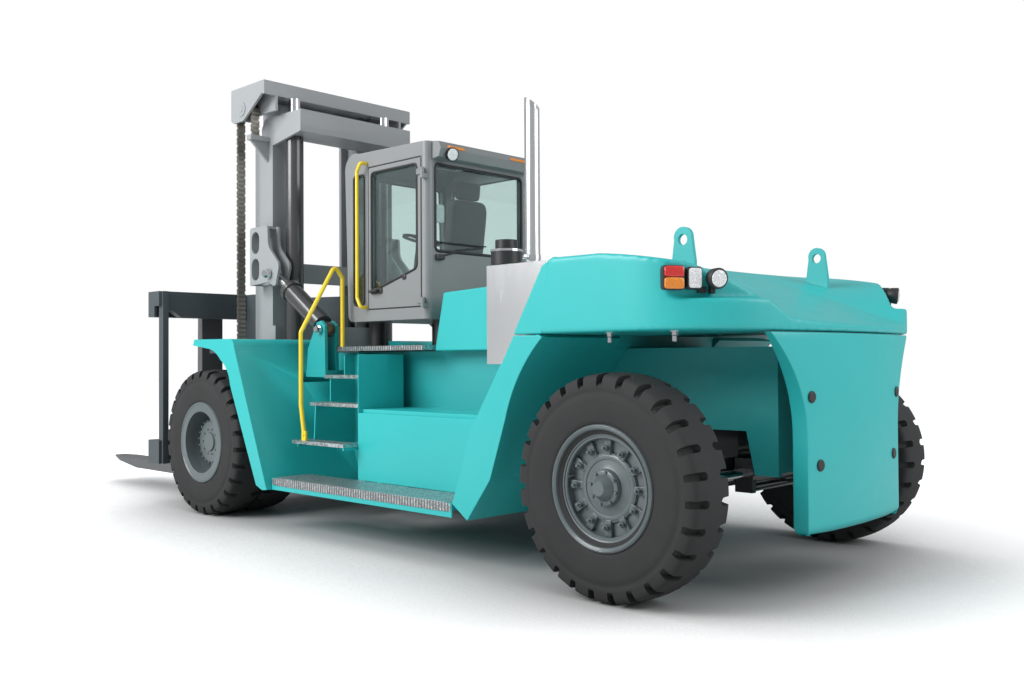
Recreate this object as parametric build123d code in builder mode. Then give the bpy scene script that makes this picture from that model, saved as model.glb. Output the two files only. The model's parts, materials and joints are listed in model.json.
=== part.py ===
"""Heavy counterbalance forklift truck, the whole vehicle, as separate named pieces.

Millimetres. +X points forward to the fork tips, +Y to the driver's left, +Z up, the ground is Z = 0
and the origin is under the middle of the machine. Lengths along the truck are measured from the
steered rear axle and moved into the frame by fx().
"""
import os
from math import cos, hypot, radians, sin
from build123d import *

# overall sizes
WHEELBASE = 4946
TAIL = 900  # counterweight behind the steered axle
FORK_FACE = 1259  # drive axle to the front face of the fork shanks
FORK_LENGTH = 2145
LENGTH = TAIL + WHEELBASE + FORK_FACE + FORK_LENGTH
RUN = 5  # least clearance between pieces that move past each other
SEAT = 0.3  # gap between a seated piece and its seat on another body
FIT = 0.05  # radial clearance of a running fit


def fx(from_rear_axle):
    """Place along the frame of a length measured forward from the rear axle."""
    return TAIL - LENGTH / 2 + from_rear_axle


# wheels, 14.00-24 tyres all round
TYRE_R = 685
TYRE_HALF = 182
BEAD_R = 312
RIM_FLANGE_R = 375
RIM_WALL = 22
LUGS = 27
LUG_ARC = 9.6  # degrees of tread flat on each lug, the rest of the pitch is groove
GROOVE_RUNOUT_Y = 60  # where a groove's floor comes up to the crown, from the wheel's middle
GROOVE_SIDE_R = 602  # radius of a groove's floor at the tyre's side
BEAD_SIDES = 18
BEAD_HALF = 130
WALL_FLARE = 1.4  # where the wall's taper meets the side, in bead radii
RIM_CLAMPS = 12
CLAMP_R = 250
REAR_WHEEL_Y = 1382
KINGPIN_Y = 1020
KINGPIN_R = 40
FRONT_OUTER_Y = 1262
FRONT_INNER_Y = 892
SPINDLE_REAR_R = 62
SPINDLE_FRONT_R = 130
AXLE_Z = TYRE_R

# chassis
FRAME_OUT_Y = 470
FRAME_WALL = 40
FRAME_TOP = 1524
FRAME_LOW = 450
FRAME_NOSE = WHEELBASE - 386
FRAME_REAR = -560
AXLE_TUBE_R = 190
BANJO_R = 300

# mast
RAIL_BACK = WHEELBASE - 59
RAIL_FRONT = WHEELBASE + 260
RAIL_OUT_Y = 687
RAIL_IN_Y = 550
RAIL_WALL = 40
MAST_TOP = 4180
OUTER_LOW = 1000
OUTER_TOP = MAST_TOP - 490
HEADER_BACK = WHEELBASE - 548
HEADER_FRONT = WHEELBASE + 139
HEADER_LOW = MAST_TOP - 506
HEADER_TOP = MAST_TOP - 293
INNER_SHIFT = 93  # inner rail stands this far forward of the outer rail
INNER_OUT_Y = RAIL_IN_Y - 10
INNER_IN_Y = 420
INNER_LOW = 1060
CROWN_BACK = WHEELBASE - 272
CROWN_FRONT = WHEELBASE + 340
CROWN_HALF = 916
CROWN_LOW = MAST_TOP - 135
CROWN_SIDE_LOW = MAST_TOP - 340
SHEAVE_X = WHEELBASE + 139
SHEAVE_Z = MAST_TOP - 220
SHEAVE_Y = 845
SHEAVE_R = 115
CHAIN_WIDE = 84
CHAIN_THICK = 34
CHAIN_PITCH = 76
CHAIN_WAIST = 7  # how far the plates draw in between two pins, on each edge
LIFT_X = WHEELBASE - 256
LIFT_Y = 560
LIFT_R = 88
LIFT_ROD_R = 60

# carriage and forks
CARRIAGE_BACK = WHEELBASE + 914
CARRIAGE_FRONT = WHEELBASE + 1014
CARRIAGE_HALF = 1400
BEAM_LOW = 2015
BEAM_TOP = 2165
BAR_BACK = WHEELBASE + 1054
BAR_FRONT = WHEELBASE + 1144
BAR_LOW = 1905
BAR_TOP = 2020
FOOT_LOW = 415
FOOT_TOP = 650
ROLLER_R = 114
ROLLER_Z = (1270, 2040)
FORK_WIDE = 250
FORK_THICK = 110
FORK_Y = 675
FORK_LOW = 200

# tilt cylinders
TILT_Y = 760
TILT_REAR = (WHEELBASE - 1084, 1735)
TILT_FRONT = (WHEELBASE - 234, 2298)
TILT_R = 92
TILT_ROD_R = 42
TILT_EYE_R = 70
TILT_PIN_R = 35
TILT_PLATE = 25
TILT_GAP = 48  # from the cylinder's middle to each bracket plate on the mast

# body
HOOD_LOW = 1613
HOOD_TOP = 2097
HOOD_HALF = 1450
POCKET_LEDGE = 1800
COVER_HALF = 615
BODY_OUT = 1450
FENDER_OUT = 1480
TANK_FRONT = WHEELBASE - 1936
STEP_BACK = WHEELBASE - 1926
STEP_FRONT = WHEELBASE - 1176
DECK_Z = 1575
CAB_BACK = WHEELBASE - 2326
CAB_HALF = 620
CAB_WALL = 45
CAB_LOW = 1800
CAB_TOP = 3310
CAB_CORNER = 60
GLASS = 8
DOOR_BACK = CAB_BACK + 70
DOOR_FRONT = CAB_BACK + 810
HINGE_X = CAB_BACK + 30
HINGE_Y = CAB_HALF + 26
DOOR_LOW = 1900
DOOR_TOP = 3190

SIDES = (("left", 1), ("right", -1))

os.makedirs("parts", exist_ok=True)


def trace(steps, place):
    """Lines and arcs through placed points: a step is a point, or a (via, end) pair of points for an arc."""
    start = place(steps[0])
    at = start
    for step in steps[1:]:
        if isinstance(step[0], tuple):
            end = place(step[1])
            ThreePointArc(at, place(step[0]), end)
        else:
            end = place(step)
            Line(at, end)
        at = end
    if at != start:
        Line(at, start)


def prism(plane, steps, place, depth, mode, corner):
    """A traced outline on a plane, with its corners rounded where asked, carried along the plane's normal."""
    with BuildSketch(plane) as face:
        with BuildLine():
            trace(steps, place)
        make_face()
        if corner:
            fillet(face.vertices(), corner)
    extrude(face.sketch, amount=depth, mode=mode)


def in_frame(point):
    """A (X from the rear axle, Z or Y) point, moved into the frame."""
    return (fx(point[0]), point[1])


def as_is(point):
    return point


def block(x, y, z, mode=Mode.ADD):
    """A box between pairs of X (from the rear axle), Y and Z."""
    with Locations((fx(sum(x) / 2), sum(y) / 2, sum(z) / 2)):
        Box(abs(x[1] - x[0]), abs(y[1] - y[0]), abs(z[1] - z[0]), mode=mode)


def side_prism(outline, y, mode=Mode.ADD, corner=0):
    """A side-view outline of (X from the rear axle, Z) steps, carried across from y[0] to y[1]."""
    low, high = sorted(y)
    prism(Plane.XZ.offset(-high), outline, in_frame, high - low, mode, corner)


def plan_prism(outline, z, mode=Mode.ADD, corner=0):
    """A plan-view outline of (X from the rear axle, Y) steps, carried up from z[0] to z[1]."""
    prism(Plane.XY.offset(z[0]), outline, in_frame, z[1] - z[0], mode, corner)


def rear_prism(outline, x, mode=Mode.ADD, corner=0):
    """A rear-view outline of (Y, Z) steps, carried forward from x[0] to x[1]."""
    prism(Plane.YZ.offset(fx(x[0])), outline, as_is, x[1] - x[0], mode, corner)


def bar(start, end, radius, mode=Mode.ADD):
    """A round bar between two points (X from the rear axle, Y, Z)."""
    a = Vector(fx(start[0]), start[1], start[2])
    b = Vector(fx(end[0]), end[1], end[2])
    with BuildSketch(Plane(origin=a, z_dir=b - a)) as face:
        Circle(radius)
    extrude(face.sketch, amount=(b - a).length, mode=mode)


def tube_run(points, radius, bend):
    """A round rail along straight runs joined by bends."""
    with BuildLine() as route:
        FilletPolyline(*[(fx(px), py, pz) for px, py, pz in points], radius=bend)
    with BuildSketch(Plane(origin=route.line @ 0, z_dir=route.line % 0)) as face:
        Circle(radius)
    sweep(face.sketch, path=route.line)


def wheel_turn(profile, x, y):
    """Turn a half-section of (Y from the wheel's middle, radius) points about the wheel's axle."""
    with BuildSketch(Plane(origin=(fx(x), y, AXLE_Z), x_dir=(0, 1, 0), z_dir=(1, 0, 0))) as face:
        Polygon(*profile, align=None)
    revolve(face.sketch, axis=Axis((fx(x), y, AXLE_Z), (0, 1, 0)))


def from_drive(steps):
    """Move steps of (distance ahead of the drive axle, height) to distances from the rear axle."""
    return [tuple((WHEELBASE + a, b) for a, b in step) if isinstance(step[0], tuple)
            else (WHEELBASE + step[0], step[1]) for step in steps]


def save(piece, label):
    piece.part.label = label
    export_step(piece.part, f"parts/{label}.step")


# The tyre, on an axle along Y through the origin: a tread of flat lugs with a groove between each
# pair, open at the side and running out on the crown, and a bead that tapers in to the rim.
lug_pitch = 360 / LUGS
lug_corner_r = TYRE_R / cos(radians(LUG_ARC / 2))
groove_half = lug_corner_r * sin(radians((lug_pitch - LUG_ARC) / 2))
groove_slope = (TYRE_HALF - GROOVE_RUNOUT_Y) / (TYRE_R - GROOVE_SIDE_R)
GROOVE_OVER = 20  # how far the cutting shape stands past the tread and the side
lug_ends = [270 + k * lug_pitch + end * LUG_ARC / 2 for k in range(LUGS) for end in (-1, 1)]
groove_planes = []
for k in range(LUGS):
    turn = radians(270 + (k + 0.5) * lug_pitch)
    outward = (cos(turn), 0, sin(turn))
    groove_planes.append(Plane(origin=(0, 0, 0), x_dir=outward, z_dir=(-sin(turn), 0, cos(turn))))
with BuildPart() as tyre:
    with BuildSketch(Plane.XZ.offset(-TYRE_HALF)):
        Polygon(*[(lug_corner_r * cos(radians(a)), lug_corner_r * sin(radians(a))) for a in lug_ends],
                align=None)
    extrude(amount=2 * TYRE_HALF)
    bead_corner_r = BEAD_R / cos(radians(180 / BEAD_SIDES))
    with BuildSketch(Plane.XZ):
        RegularPolygon(bead_corner_r, BEAD_SIDES)
    extrude(amount=TYRE_HALF, both=True, mode=Mode.SUBTRACT)
    for s in (1, -1):
        with BuildSketch(Plane.XZ.offset(-s * BEAD_HALF)):
            RegularPolygon(bead_corner_r, BEAD_SIDES)
        with BuildSketch(Plane.XZ.offset(-s * TYRE_HALF)):
            RegularPolygon(bead_corner_r * WALL_FLARE, BEAD_SIDES)
        loft(mode=Mode.SUBTRACT)
    with BuildSketch(*groove_planes) as grooves:
        for s in (1, -1):
            Polygon((TYRE_R + GROOVE_OVER, s * (GROOVE_RUNOUT_Y - groove_slope * GROOVE_OVER)),
                    (TYRE_R + GROOVE_OVER, s * (TYRE_HALF + GROOVE_OVER)),
                    (GROOVE_SIDE_R - GROOVE_OVER / groove_slope, s * (TYRE_HALF + GROOVE_OVER)), align=None)
    extrude(amount=groove_half, both=True, mode=Mode.SUBTRACT)

# Each rear wheel is one tyre on a dished rim with wedge clamps, and turns on its knuckle's spindle.
RIM_SECTION = [
    (-175, RIM_FLANGE_R), (-175, BEAD_R - RIM_WALL), (175, BEAD_R - RIM_WALL), (175, RIM_FLANGE_R),
    (160, RIM_FLANGE_R), (140, BEAD_R - 1), (-140, BEAD_R - 1), (-160, RIM_FLANGE_R),
]
REAR_DISC_SECTION = [
    (40, BEAD_R - RIM_WALL + 2), (40, 200), (-60, 160), (-60, SPINDLE_REAR_R + FIT), (130, SPINDLE_REAR_R + FIT),
    (130, 108), (112, 112), (95, 165), (95, 198), (75, 205), (75, BEAD_R - RIM_WALL + 2),
]
REAR_CAP_SECTION = [(130, 0), (130, 108), (142, 106), (144, 84), (160, 80), (195, 42), (195, 0)]
for name, s in SIDES:
    with BuildPart() as rear_tyre:
        with Locations((fx(0), s * REAR_WHEEL_Y, AXLE_Z)):
            add(tyre.part)
    save(rear_tyre, f"rear_tyre_{name}")
    with BuildPart() as rear_rim:
        wheel_turn(RIM_SECTION, 0, s * REAR_WHEEL_Y)
        wheel_turn([(s * a, r) for a, r in REAR_DISC_SECTION], 0, s * REAR_WHEEL_Y)
        wheel_turn([(s * a, r) for a, r in REAR_CAP_SECTION], 0, s * REAR_WHEEL_Y)
        centre = Location((fx(0), s * (REAR_WHEEL_Y + 88), AXLE_Z))
        with Locations(*[centre * Location((0, 0, 0), (0, k * 360 / RIM_CLAMPS, 0)) * Location((CLAMP_R, 0, 0))
                         for k in range(RIM_CLAMPS)]):
            Box(74, 34, 56)
    save(rear_rim, f"rear_rim_{name}")

# Each front wheel is a pair of tyres on two rims, with the round hub of the drive axle between them.
middle = (FRONT_OUTER_Y + FRONT_INNER_Y) / 2
FRONT_HUB_SECTION = [
    (-172, BEAD_R - RIM_WALL + 2), (-172, 230), (-240, 200), (-240, SPINDLE_FRONT_R + FIT),
    (150, SPINDLE_FRONT_R + FIT), (150, 235), (40, 250), (40, BEAD_R - RIM_WALL + 2),
]
FRONT_CAP_SECTION = [(150, 0), (150, 235), (235, 215), (262, 190), (262, 92), (276, 86), (276, 0)]
for name, s in SIDES:
    with BuildPart() as front_tyres:
        with Locations((fx(WHEELBASE), s * FRONT_OUTER_Y, AXLE_Z), (fx(WHEELBASE), s * FRONT_INNER_Y, AXLE_Z)):
            add(tyre.part)
    save(front_tyres, f"front_tyres_{name}")
    with BuildPart() as front_rims:
        for y in (FRONT_OUTER_Y, FRONT_INNER_Y):
            wheel_turn(RIM_SECTION, WHEELBASE, s * y)
        wheel_turn([(s * a, r) for a, r in FRONT_HUB_SECTION], WHEELBASE, s * middle)
        wheel_turn([(s * a, r) for a, r in FRONT_CAP_SECTION], WHEELBASE, s * middle)
    save(front_rims, f"front_hub_{name}")

# The drive axle: tube, banjo and the two spindles that carry the front wheels.
with BuildPart() as drive_axle:
    bar((WHEELBASE, -700, AXLE_Z), (WHEELBASE, 700, AXLE_Z), AXLE_TUBE_R)
    bar((WHEELBASE, -1215, AXLE_Z), (WHEELBASE, 1215, AXLE_Z), SPINDLE_FRONT_R)
    wheel_turn([(-400, 0), (-400, 190), (-250, 270), (-120, BANJO_R), (120, BANJO_R), (250, 270), (400, 190),
                (400, 0)], WHEELBASE, 0)
save(drive_axle, "drive_axle")

# The steered axle: a box beam with a fork at each end round the knuckle's kingpin.
EAR_LOW = 530
EAR_TOP = 850
EAR_THICK = 50
EAR_R = 95
AXLE_BEAM_TOP = 790
with BuildPart() as steer_axle:
    block((-140, 140), (-930, 930), (600, AXLE_BEAM_TOP))
    block((-180, 180), (-330, 330), (AXLE_BEAM_TOP, 980))
    for s in (1, -1):
        for z in ((EAR_LOW, EAR_LOW + EAR_THICK), (EAR_TOP - EAR_THICK, EAR_TOP)):
            block((-EAR_R, EAR_R), (s * 860, s * KINGPIN_Y), z)
            bar((0, s * KINGPIN_Y, z[0]), (0, s * KINGPIN_Y, z[1]), EAR_R)
        block((-EAR_R, EAR_R), (s * 860, s * 930), (EAR_LOW, EAR_TOP))
        bar((0, s * KINGPIN_Y, EAR_LOW - 10), (0, s * KINGPIN_Y, EAR_TOP), KINGPIN_R)
save(steer_axle, "steer_axle")

# Each knuckle turns between the ears. Its arm passes over the upper ear and drops to the steering rod.
ARM = 240  # kingpin to the pin that the steering rod pushes
ARM_LOW = EAR_TOP + RUN
ARM_TOP = ARM_LOW + 45
FLANGE_Y = KINGPIN_Y + EAR_R + RUN + 4
FLANGE_THICK = 40
STEER_Z = 690
ROD_EYE_TOP = AXLE_BEAM_TOP + RUN
for name, s in SIDES:
    with BuildPart() as knuckle:
        bar((0, s * KINGPIN_Y, EAR_LOW + EAR_THICK + RUN), (0, s * KINGPIN_Y, EAR_TOP - EAR_THICK - RUN), 80)
        block((-60, 60), (s * KINGPIN_Y, s * (FLANGE_Y + FLANGE_THICK)), (600, 780))
        bar((0, s * FLANGE_Y, AXLE_Z), (0, s * 1510, AXLE_Z), SPINDLE_REAR_R)
        block((-70, 70), (s * FLANGE_Y, s * (FLANGE_Y + FLANGE_THICK)), (600, ARM_TOP))
        plan_prism([(70, s * (FLANGE_Y + FLANGE_THICK)), (70, s * (KINGPIN_Y + 20)), (0, s * (KINGPIN_Y - 50)),
                    (-ARM, s * (KINGPIN_Y - 38)), (-ARM, s * (KINGPIN_Y + 38)),
                    (-70, s * (FLANGE_Y + FLANGE_THICK))],
                   (ARM_LOW, ARM_TOP))
        bar((-ARM, s * KINGPIN_Y, ROD_EYE_TOP + SEAT), (-ARM, s * KINGPIN_Y, ARM_TOP), 45)
        bar((0, s * KINGPIN_Y, 500), (0, s * KINGPIN_Y, ARM_LOW - 1), KINGPIN_R + FIT, mode=Mode.SUBTRACT)
    save(knuckle, f"knuckle_{name}")

# The steering cylinder: a barrel between two end plates that four tie rods clamp, behind the beam.
BARREL_R = 75
BARREL_END = 360
TIE_ROD_OFF = BARREL_R + 22
TIE_ROD_R = 11
with BuildPart() as steer_barrel:
    bar((-ARM, -BARREL_END, STEER_Z), (-ARM, BARREL_END, STEER_Z), BARREL_R)
    for y in (-300, 260):
        block((-ARM, -140), (y, y + 40), (STEER_Z - 60, STEER_Z + 60))
    for s in (1, -1):
        rear_prism([(s * BARREL_END, STEER_Z - 125), (s * BARREL_END, STEER_Z + 100),
                    (s * (BARREL_END - 45), STEER_Z + 100), (s * (BARREL_END - 45), STEER_Z - 125)],
                   (-ARM - 65, -ARM + 65))
        for x in (-ARM - 45, -ARM + 45):
            z = STEER_Z - 12 + s * TIE_ROD_OFF
            bar((x, 10 - BARREL_END, z), (x, BARREL_END - 10, z), TIE_ROD_R)
    bar((-ARM, -BARREL_END - 40, STEER_Z), (-ARM, BARREL_END + 40, STEER_Z), 35 + FIT, mode=Mode.SUBTRACT)
save(steer_barrel, "steer_cylinder_barrel")
with BuildPart() as steer_rod:
    bar((-ARM, -KINGPIN_Y + 30, STEER_Z), (-ARM, KINGPIN_Y - 30, STEER_Z), 35)
    for s in (1, -1):
        bar((-ARM, s * KINGPIN_Y, STEER_Z - 40), (-ARM, s * KINGPIN_Y, ROD_EYE_TOP), 44)
save(steer_rod, "steer_cylinder_rod")

# The frame: two long side plates with an arch over the steered axle, and cross members.
ARCH_HALF = 330
ARCH_TOP = 980
frame_in = FRAME_OUT_Y - FRAME_WALL
TILT_EAR = [(-1161, 1300), (-856, 1300), (-886, 1560), (-1026, 1800), (-1096, 1815), (-1149, 1770)]
with BuildPart() as chassis:
    for s in (1, -1):
        side_prism([(FRAME_REAR, FRAME_TOP), (FRAME_REAR, 700), (-ARCH_HALF - 60, 700), (-ARCH_HALF, ARCH_TOP),
                    (ARCH_HALF, ARCH_TOP), (ARCH_HALF + 160, FRAME_LOW)]
                   + from_drive([(-646, FRAME_LOW), (-446, 560), (180, 560), (210, 600), (210, 900), (-306, 930)])
                   + [(FRAME_NOSE, FRAME_TOP)], (s * FRAME_OUT_Y, s * frame_in))
    for x, z in (((700, 760), (500, 1300)), ((WHEELBASE - 2566, WHEELBASE - 2506), (460, 1400)),
                 ((WHEELBASE - 566, WHEELBASE - 506), (560, 1500)), ((FRAME_REAR, FRAME_REAR + 60), (720, 1500))):
        block(x, (-frame_in, frame_in), z)
    block((-ARCH_HALF, ARCH_HALF), (-frame_in, frame_in), (ARCH_TOP, ARCH_TOP + 60))
    bar((WHEELBASE, -600, AXLE_Z), (WHEELBASE, 600, AXLE_Z), AXLE_TUBE_R, mode=Mode.SUBTRACT)
    for s in (1, -1):
        for y in (TILT_Y - 75, TILT_Y + 45):
            side_prism(from_drive(TILT_EAR), (s * y, s * (y + 30)))
        block((WHEELBASE - 1161, WHEELBASE - 856), (s * FRAME_OUT_Y, s * (TILT_Y + 75)), (1300, 1360))
        bar((TILT_REAR[0], s * (TILT_Y - 85), TILT_REAR[1]), (TILT_REAR[0], s * (TILT_Y + 90), TILT_REAR[1]),
            TILT_PIN_R)
save(chassis, "chassis_frame")

ENGINE_BACK = 860
ENGINE_FRONT = WHEELBASE - 2696
with BuildPart() as engine:
    block((ENGINE_BACK, ENGINE_FRONT), (-frame_in + 30, frame_in - 30), (620, 1480))
    for x in (ENGINE_BACK + 140, ENGINE_FRONT - 200):
        block((x, x + 80), (-frame_in, frame_in), (900, 960))
save(engine, "engine_block")

# Front fenders: a crown over the drive wheels that drops behind them as a sloping wall.
FENDER_BACK = [(-1211, 345), (-676, 1580), ((-655, 1632), (-605, 1650)), (-446, 1650), (-446, 1458),
               ((-559, 1364), (-611, 1234)), (-1044, 373), (-1140, 338)]
FENDER_CROWN = [(-447, 1650), (39, 1655), (64, 1600), (-256, 1562), ((-358, 1524), (-447, 1457))]
with BuildPart() as fender:
    for s in (1, -1):
        side_prism(from_drive(FENDER_BACK), (s * FRAME_OUT_Y, s * FENDER_OUT))
        side_prism(from_drive(FENDER_CROWN), (s * 790, s * FENDER_OUT))
        block((WHEELBASE - 776, WHEELBASE - 1246), (s * FRAME_OUT_Y, s * 840), (1250, 1900), mode=Mode.SUBTRACT)
save(fender, "front_fenders")

# Rear body sides: the sloping box that closes the rear wheel arch in front of the wheel.
with BuildPart() as rear_side:
    for s in (1, -1):
        side_prism([(554, 1592), ((765, 1340), (890, 1051)), (1034, 644), (1261, 345), (1413, 447), (1227, 969),
                    (933, 1414), (600, HOOD_LOW)], (s * FRAME_OUT_Y, s * BODY_OUT))
        block((500, 1000), (s * (FRAME_OUT_Y - 1), s * (COVER_HALF + 2)), (FRAME_TOP, HOOD_LOW),
              mode=Mode.SUBTRACT)
save(rear_side, "rear_body_sides")
with BuildPart() as tank:
    for s in (1, -1):
        side_prism([(1420, 450), (TANK_FRONT, 450), (TANK_FRONT, 1040), (1230, 1040), (1235, 960)],
                   (s * FRAME_OUT_Y, s * 1050))
        block((1300, TANK_FRONT - 1), (s * 1010, s * 1050), (1010, 1040), mode=Mode.SUBTRACT)
        rear_prism([(s * 1010, 1040), (s * 1010, 1010), (s * 1050, 1010), (s * 1050, 1000), (s * 1000, 1000),
                    (s * 1000, 1040)], (1300, TANK_FRONT - 1))
save(tank, "side_tanks")

# Running boards: a folded tray with a raised lip along its outer edge, on two arms under each tank.
BOARD_OUT = 1430
BOARD_TOP = 445
with BuildPart() as board:
    for s in (1, -1):
        rear_prism([(s * 1051, 395), (s * 1051, BOARD_TOP), (s * BOARD_OUT, BOARD_TOP), (s * BOARD_OUT, 345),
                    (s * (BOARD_OUT - 14), 345), (s * (BOARD_OUT - 14), 395)], (1440, STEP_FRONT - 40))
        for x in (1600, WHEELBASE - 2246):
            block((x, x + 60), (s * 600, s * 1060), (395, 450))
save(board, "running_boards")

# Steps from the running board up to the deck beside the cab.
STEPS = ((1200, 755), (1015, 1080), (860, 1320))  # Y of the nose, height
STEP_DEEP = 170
STEP_LIP = 30
with BuildPart() as treads:
    for s in (1, -1):
        for y, z in STEPS:
            rear_prism([(s * (y - STEP_DEEP), z - STEP_LIP), (s * (y - STEP_DEEP), z), (s * y, z),
                        (s * y, z - STEP_LIP)], (STEP_BACK, STEP_FRONT))
            block((STEP_BACK + 30, STEP_FRONT - 30), (s * (y - 18), s * (y - STEP_DEEP - 10)),
                  (z - STEP_LIP - 10, z - 12), mode=Mode.SUBTRACT)
save(treads, "step_treads")
BRACKET_TOPS = [z - STEP_LIP for y, z in STEPS]
with BuildPart() as brackets:
    for s in (1, -1):
        block((TANK_FRONT, STEP_BACK - 1), (s * 560, s * 1050), (460, 1500))
        for x in ((STEP_BACK + 5, STEP_BACK + 25), (STEP_FRONT - 80, STEP_FRONT - 65)):
            rear_prism([(s * 560, 700), (s * 1190, 700), (s * 1190, BRACKET_TOPS[0]),
                        (s * 1020, BRACKET_TOPS[0]), (s * 1005, BRACKET_TOPS[1]), (s * 845, BRACKET_TOPS[1]), (s * 845, BRACKET_TOPS[2]),
                        (s * 690, BRACKET_TOPS[2]), (s * 690, 1500), (s * 560, 1500)], x)
        block((STEP_BACK - 1, STEP_FRONT - 65), (s * 560, s * 575), (700, 1500))
save(brackets, "step_brackets")
with BuildPart() as deck:
    for s in (1, -1):
        block((CAB_BACK - 60, STEP_FRONT), (s * FRAME_OUT_Y, s * 720), (DECK_Z - 40, DECK_Z))
save(deck, "side_decks")

# Rear hood over the steered wheels: two shoulders that fall and round off towards the tail, a valley
# between them that sinks to the rear, and a flat pocket in each shoulder for the tail lamps.
REAR_ROUND = ((-560, 1290), (-790, 950))  # plan arc of the left rear corner: via, end
REAR_FACE = (-TAIL, 0)  # middle of the rear face's plan arc
HOOD_PLAN = [(660, HOOD_HALF), (-150, HOOD_HALF), REAR_ROUND, (REAR_FACE, (REAR_ROUND[1][0], -REAR_ROUND[1][1])),
             ((REAR_ROUND[0][0], -REAR_ROUND[0][1]), (-150, -HOOD_HALF)), (660, -HOOD_HALF)]
HOOD_CREST = [(600, HOOD_LOW), (530, 2030), ((508, 2082), (440, HOOD_TOP)), (100, HOOD_TOP - 2),
              ((-330, 2036), (-760, 1936)), (-TAIL - 10, 1858), (-TAIL - 10, HOOD_LOW)]
VALLEY_REAR = (-TAIL - 40, 800, 1645, 2030)  # X, Y of the wall's foot, floor height, wall height at the side
VALLEY_FRONT = (260, 450, HOOD_TOP + 13, HOOD_TOP + 15)
POCKET_FACE = ((-340, HOOD_HALF), (-740, 860))  # plan line of the lamp pocket's flat face
with BuildPart() as hood:
    plan_prism(HOOD_PLAN, (HOOD_LOW, HOOD_TOP + 60))
    side_prism(HOOD_CREST, (-HOOD_HALF - 10, HOOD_HALF + 10), mode=Mode.INTERSECT)
    for x, foot, floor, wall in (VALLEY_REAR, VALLEY_FRONT):
        with BuildSketch(Plane.YZ.offset(fx(x))):
            Polygon((-HOOD_HALF, wall), (-foot, floor), (foot, floor), (HOOD_HALF, wall),
                    (HOOD_HALF, HOOD_TOP + 100), (-HOOD_HALF, HOOD_TOP + 100), align=None)
    loft(ruled=True, mode=Mode.SUBTRACT)
    for s in (1, -1):
        (x0, y0), (x1, y1) = POCKET_FACE
        plan_prism([(x0, s * y0), (x1, s * y1), (-TAIL - 60, s * y1), (-TAIL - 60, s * (y0 + 60)),
                    (x0, s * (y0 + 60))], (POCKET_LEDGE, HOOD_TOP + 100), mode=Mode.SUBTRACT)
save(hood, "rear_hood")

# The narrow engine cover between hood and cab.
COVER_FRONT = WHEELBASE - 2406
with BuildPart() as cover:
    side_prism([(618, FRAME_TOP), (COVER_FRONT, FRAME_TOP), (COVER_FRONT - 110, 2010), (527, 2090)],
               (-COVER_HALF, COVER_HALF))
    side_prism([(700, FRAME_TOP - 9), (COVER_FRONT - 90, FRAME_TOP - 9), (COVER_FRONT - 160, 1950), (640, 2000)],
               (-COVER_HALF + 40, COVER_HALF - 40), mode=Mode.SUBTRACT)
save(cover, "engine_cover")

# Counterweight: cast block behind the steered axle, drawn in towards the ground and hollowed on each
# side by the ball that the tyre's edge sweeps as the wheel steers.
WEIGHT_LOW = 380
WEIGHT_FRONT = -480
SWEEP_GAP = 17
sweep_r = hypot(TYRE_R, REAR_WHEEL_Y - KINGPIN_Y + TYRE_HALF) + SWEEP_GAP
WEIGHT_REAR_VIEW = [(-1082, HOOD_LOW), ((-935, 1000), (-858, 450)), ((-835, 400), (-780, WEIGHT_LOW)),
                    (780, WEIGHT_LOW), ((835, 400), (858, 450)), ((935, 1000), (1082, HOOD_LOW))]
with BuildPart() as weight:
    plan_prism(HOOD_PLAN, (WEIGHT_LOW, HOOD_LOW))
    rear_prism(WEIGHT_REAR_VIEW, (-TAIL - 10, WEIGHT_FRONT), mode=Mode.INTERSECT)
    with Locations((fx(0), KINGPIN_Y, AXLE_Z), (fx(0), -KINGPIN_Y, AXLE_Z)):
        Sphere(sweep_r, mode=Mode.SUBTRACT)
    block((FRAME_REAR, 0), (-FRAME_OUT_Y, FRAME_OUT_Y), (690, 1530), mode=Mode.SUBTRACT)
    block((FRAME_REAR, 0), (-330, 330), (300, 700), mode=Mode.SUBTRACT)
save(weight, "counterweight")

# Lifting eyes stand on the hood's shoulders; their feet follow its slope.
EYE_Y = 880
with BuildPart() as eye:
    for s in (1, -1):
        side_prism([(-230, 1950), (-60, 1950), (-60, 2060), (-85, 2240), (-205, 2240), (-230, 2060)],
                   (s * (EYE_Y - 15), s * (EYE_Y + 15)))
        bar((-143, s * (EYE_Y - 15), 2215), (-143, s * (EYE_Y + 15), 2215), 66)
        bar((-143, s * (EYE_Y - 30), 2200), (-143, s * (EYE_Y + 30), 2200), 35, mode=Mode.SUBTRACT)
    add(hood.part, mode=Mode.SUBTRACT)
save(eye, "lifting_eyes")

# Exhaust: stack with a slash-cut top, and the perforated shield in front of its silencer.
STACK_X = 1050
STACK_Y = 1000
with BuildPart() as stack:
    bar((STACK_X, STACK_Y, 1600), (STACK_X, STACK_Y, 3340), 54)
    bar((STACK_X, STACK_Y, 2300), (STACK_X, STACK_Y, 3340), 49, mode=Mode.SUBTRACT)
    with BuildSketch(Plane(origin=(fx(STACK_X), STACK_Y, 3260), z_dir=(-1, 0, 1))):
        Rectangle(400, 400)
    extrude(amount=300, mode=Mode.SUBTRACT)
    bar((STACK_X - 60, STACK_Y, 1500), (STACK_X - 60, STACK_Y, 1600), 54)
    bar((STACK_X, STACK_Y, 1499), (STACK_X, STACK_Y, 2090), 95)
    for z in (1600, 1950):
        block((STACK_X - 40, STACK_X + 40), (COVER_HALF, STACK_Y - 80), (z, z + 40))
save(stack, "exhaust_stack")
with BuildPart() as shield:
    block((1160, 1168), (COVER_HALF, 1340), (1420, 2095))
    side_prism([(1168, 1420), (1168, 2095), (526, 2095), (603, 1616), (936, 1420)], (1332, 1340))
save(shield, "exhaust_shield")

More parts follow.
